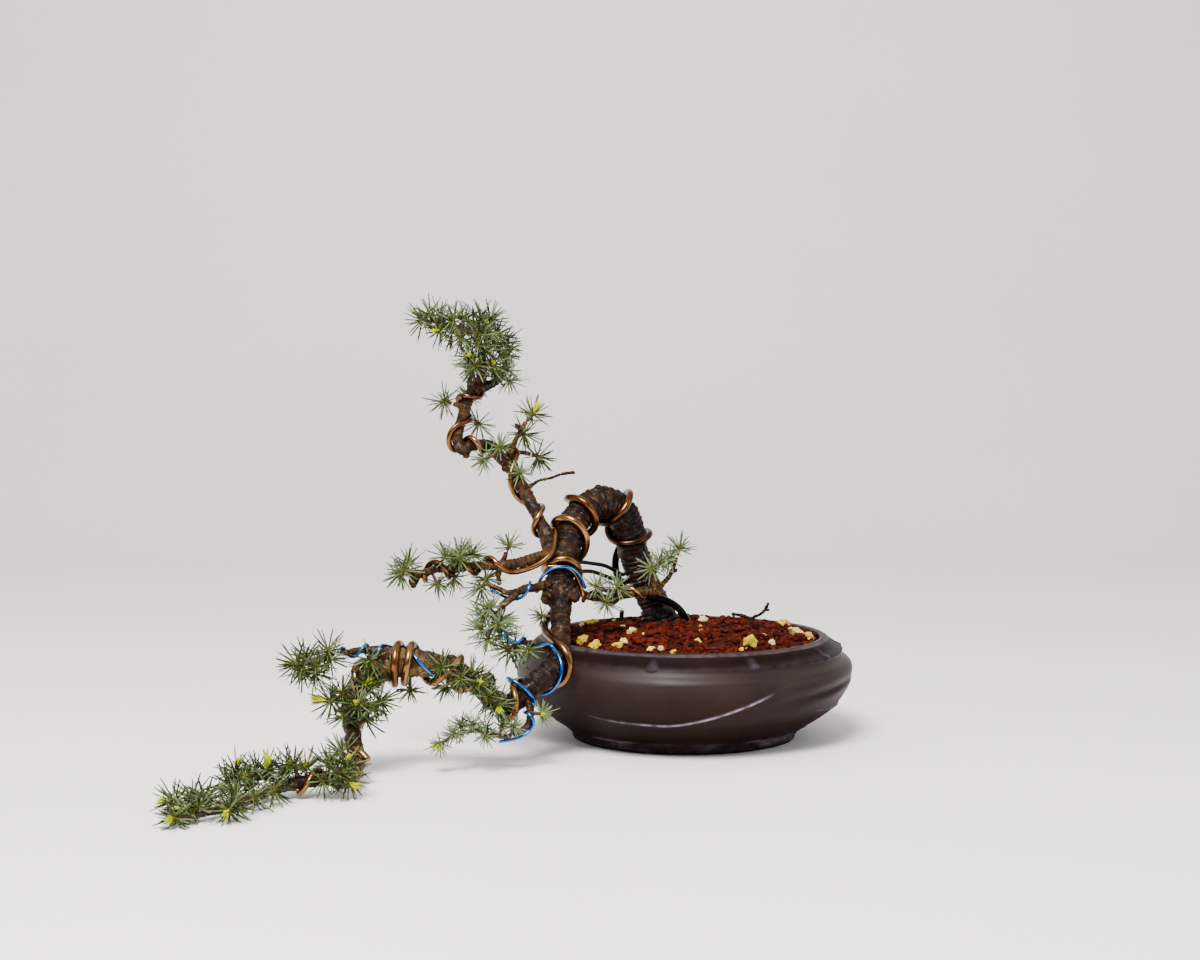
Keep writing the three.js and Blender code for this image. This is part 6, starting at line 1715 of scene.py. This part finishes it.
class BONSAI_OT_soil(bpy.types.Operator):
    """Fill the pot with red volcanic granules and pale pumice"""

    bl_idname = "bonsai.soil"
    bl_label = "Soil"

    def execute(self, context):
        looks = context.scene.bonsai_soil
        random = np.random.default_rng(SOIL_SEED)
        soil = Shape("kind")
        soil_bed(soil)
        granules = crushed_stones(random, 14, 2, 0.2)
        pumice = crushed_stones(random, 9, 3, 0.3)
        for i, (x, y, size, kind, lift) in enumerate(scattered_stones(looks, random)):
            if any((x - a) ** 2 + (y - b) ** 2 < reach ** 2 for a, b, reach in BARE_SPOTS):
                continue
            shapes, faces = pumice if i < len(PUMICE) else granules
            flat = size * np.array([1, 1, 0.8])
            stone = (shapes[i % len(shapes)] @ random_turn(random).T) * flat
            heap = 1.1 * grain(np.array([[x, y, 0.0]]) / 8, 41)[0]
            height = soil_height(x, y) - 0.6 + heap + (0.1 + lift) * size
            soil.add(stone + [x, y, height], [faces], kind=kind + random.uniform(-0.02, 0.04))
        line, radii, _, _ = limb_line(DEAD_STICK, 0.7)
        corners, faces, _ = tube(line, radii * (1 + 0.1 * grain(line / 1.5, 5)), 12)
        soil.add(corners, faces, kind=STICK_KIND)
        soil.piece("soil_granules", [volcanic_granules(looks)], "soil", "soil", crease=32)
        return {"FINISHED"}


# Stage. Its lengths are in metres.
FLOOR_FRONT = -3.0
FLOOR_BACK = 1.1
FLOOR_BEND = 0.5
FLOOR_TOP = 3.2
FLOOR_HALF_WIDTH = 3.5
LIT_PLACE = (-0.1, -0.05, 0.12)


class StageSettings(bpy.types.PropertyGroup):
    """Light, floor and camera."""

    floor: colour_property("Floor", "Plain pale floor", 0xF4F2F0)
    sky: colour_property("Room light", "Soft light from all round", 0xF2F1EE)
    sky_strength: bpy.props.FloatProperty(name="Room light strength", description="Light from all round",
                                          default=1.6, min=0)
    key: bpy.props.FloatProperty(name="Key light", description="Power of the large soft light at the left",
                                 default=92, min=0, subtype="POWER", unit="POWER")
    fill: bpy.props.FloatProperty(name="Fill light", description="Power of the soft light at the right",
                                  default=9, min=0, subtype="POWER", unit="POWER")


def soft_light(name, place, aim, width, power, colour):
    """A square soft light that faces a point."""
    light = bpy.data.lights.new(name, "AREA")
    light.shape = "SQUARE"
    light.size = width
    light.energy = power
    light.color = colour
    lamp = bpy.data.objects.new(name, light)
    lamp.location = place
    way = mathutils.Vector(aim) - mathutils.Vector(place)
    lamp.rotation_euler = way.to_track_quat("-Z", "Y").to_euler()
    bpy.context.scene.collection.objects.link(lamp)


def plain_paper(looks):
    """Backdrop paper, rolled smooth: matt and pale, with hardly a cloud in it."""
    material, add = new_material("plain_paper")
    place = add("TexCoord").outputs["Object"]
    cloud = add("TexNoise", {"Vector": place, "Scale": 3, "Detail": 2})
    shade = add("ValToRGB", {"Fac": cloud}, stops=[
        (0.3, [0.97 * part for part in looks.floor]), (0.7, looks.floor)])
    surface = add("BsdfPrincipled", {"Base Color": shade, "Roughness": 0.7})
    add("OutputMaterial", {"Surface": surface})
    return material


def paper_floor(looks):
    """A floor that runs back and curves up into a plain wall."""
    path = [(FLOOR_FRONT, 0.0), (FLOOR_BACK, 0.0)]
    for turn in np.linspace(0.1, np.pi / 2, 16):
        path.append((FLOOR_BACK + FLOOR_BEND * math.sin(turn), FLOOR_BEND - FLOOR_BEND * math.cos(turn)))
    path.append((FLOOR_BACK + FLOOR_BEND, FLOOR_TOP))
    corners = [(x, y, z) for y, z in path for x in (-FLOOR_HALF_WIDTH, FLOOR_HALF_WIDTH)]
    faces = [(2 * i, 2 * i + 1, 2 * i + 3, 2 * i + 2) for i in range(len(path) - 1)]
    mesh = bpy.data.meshes.new("floor")
    mesh.from_pydata(corners, [], faces)
    mesh.shade_smooth()
    mesh.materials.append(plain_paper(looks))
    floor = bpy.data.objects.new("floor", mesh)
    bpy.context.scene.collection.objects.link(floor)


def room_light(looks):
    """Light from all round: bright behind and above the tree, and dim on the viewer's side for deep darks."""
    world = bpy.data.worlds.new("room")
    world.use_nodes = True
    room = world.node_tree
    way = node(room, "TexCoord").outputs["Generated"]
    facing = node(room, "VectorMath", {0: way, 1: (-0.2, 0.75, 0.63)}, operation="DOT_PRODUCT")
    level = node(room, "MapRange", {"Value": facing},
                 span=(-0.35, 0.75, 0.14 * looks.sky_strength, looks.sky_strength))
    background = room.nodes["Background"].inputs
    background["Color"].default_value = (*looks.sky, 1)
    room.links.new(level.outputs[0], background["Strength"])
    bpy.context.scene.world = world


class BONSAI_OT_stage(bpy.types.Operator):
    """Set up the camera, the pale floor and the soft light"""

    bl_idname = "bonsai.stage"
    bl_label = "Camera, floor and light"

    def execute(self, context):
        looks = context.scene.bonsai_stage
        scene = context.scene
        camera = bpy.data.objects.new("camera", bpy.data.cameras.new("camera"))
        camera.data.sensor_fit = "HORIZONTAL"
        camera.data.sensor_width = 36
        camera.data.lens = CAMERA_LENS
        camera.location = [value * MM for value in CAMERA_PLACE]
        camera.rotation_euler = (math.radians(90 - CAMERA_PITCH), 0, 0)
        scene.collection.objects.link(camera)
        scene.camera = camera
        paper_floor(looks)
        room_light(looks)
        soft_light("key_light", (-0.38, -1.2, 1.5), LIT_PLACE, 0.7, looks.key, (1, 0.98, 0.95))
        soft_light("fill_light", (1.3, -0.7, 0.8), LIT_PLACE, 1.2, looks.fill, (0.86, 0.9, 1))
        return {"FINISHED"}


PIECES = (BONSAI_OT_stage, BONSAI_OT_wood, BONSAI_OT_wires, BONSAI_OT_needles, BONSAI_OT_pot, BONSAI_OT_soil)
SETTINGS = {
    "bonsai_bark": BarkSettings,
    "bonsai_wire": WireSettings,
    "bonsai_needles": NeedleSettings,
    "bonsai_pot": PotSettings,
    "bonsai_soil": SoilSettings,
    "bonsai_stage": StageSettings,
}


class BONSAI_PT_panel(bpy.types.Panel):
    """The pieces of the bonsai, and what can be changed about them"""

    bl_label = "Cedar bonsai"
    bl_idname = "BONSAI_PT_panel"
    bl_space_type = "VIEW_3D"
    bl_region_type = "UI"
    bl_category = "Bonsai"

    def draw(self, context):
        for piece in PIECES:
            self.layout.operator(piece.bl_idname)
        for name, group in SETTINGS.items():
            box = self.layout.box()
            for field in group.__annotations__:
                box.prop(getattr(context.scene, name), field)


def register():
    """Make the settings, the pieces and the panel known."""
    for group in (*SETTINGS.values(), *PIECES, BONSAI_PT_panel):
        bpy.utils.register_class(group)
    for name, group in SETTINGS.items():
        setattr(bpy.types.Scene, name, bpy.props.PointerProperty(type=group))


def unregister():
    """Take them away again."""
    for name in SETTINGS:
        delattr(bpy.types.Scene, name)
    for group in (BONSAI_PT_panel, *reversed(PIECES), *SETTINGS.values()):
        bpy.utils.unregister_class(group)


def main():
    """Build the whole bonsai."""
    register()
    for piece in PIECES:
        group, name = piece.bl_idname.split(".")
        getattr(getattr(bpy.ops, group), name)()


if __name__ == "__main__":
    main()
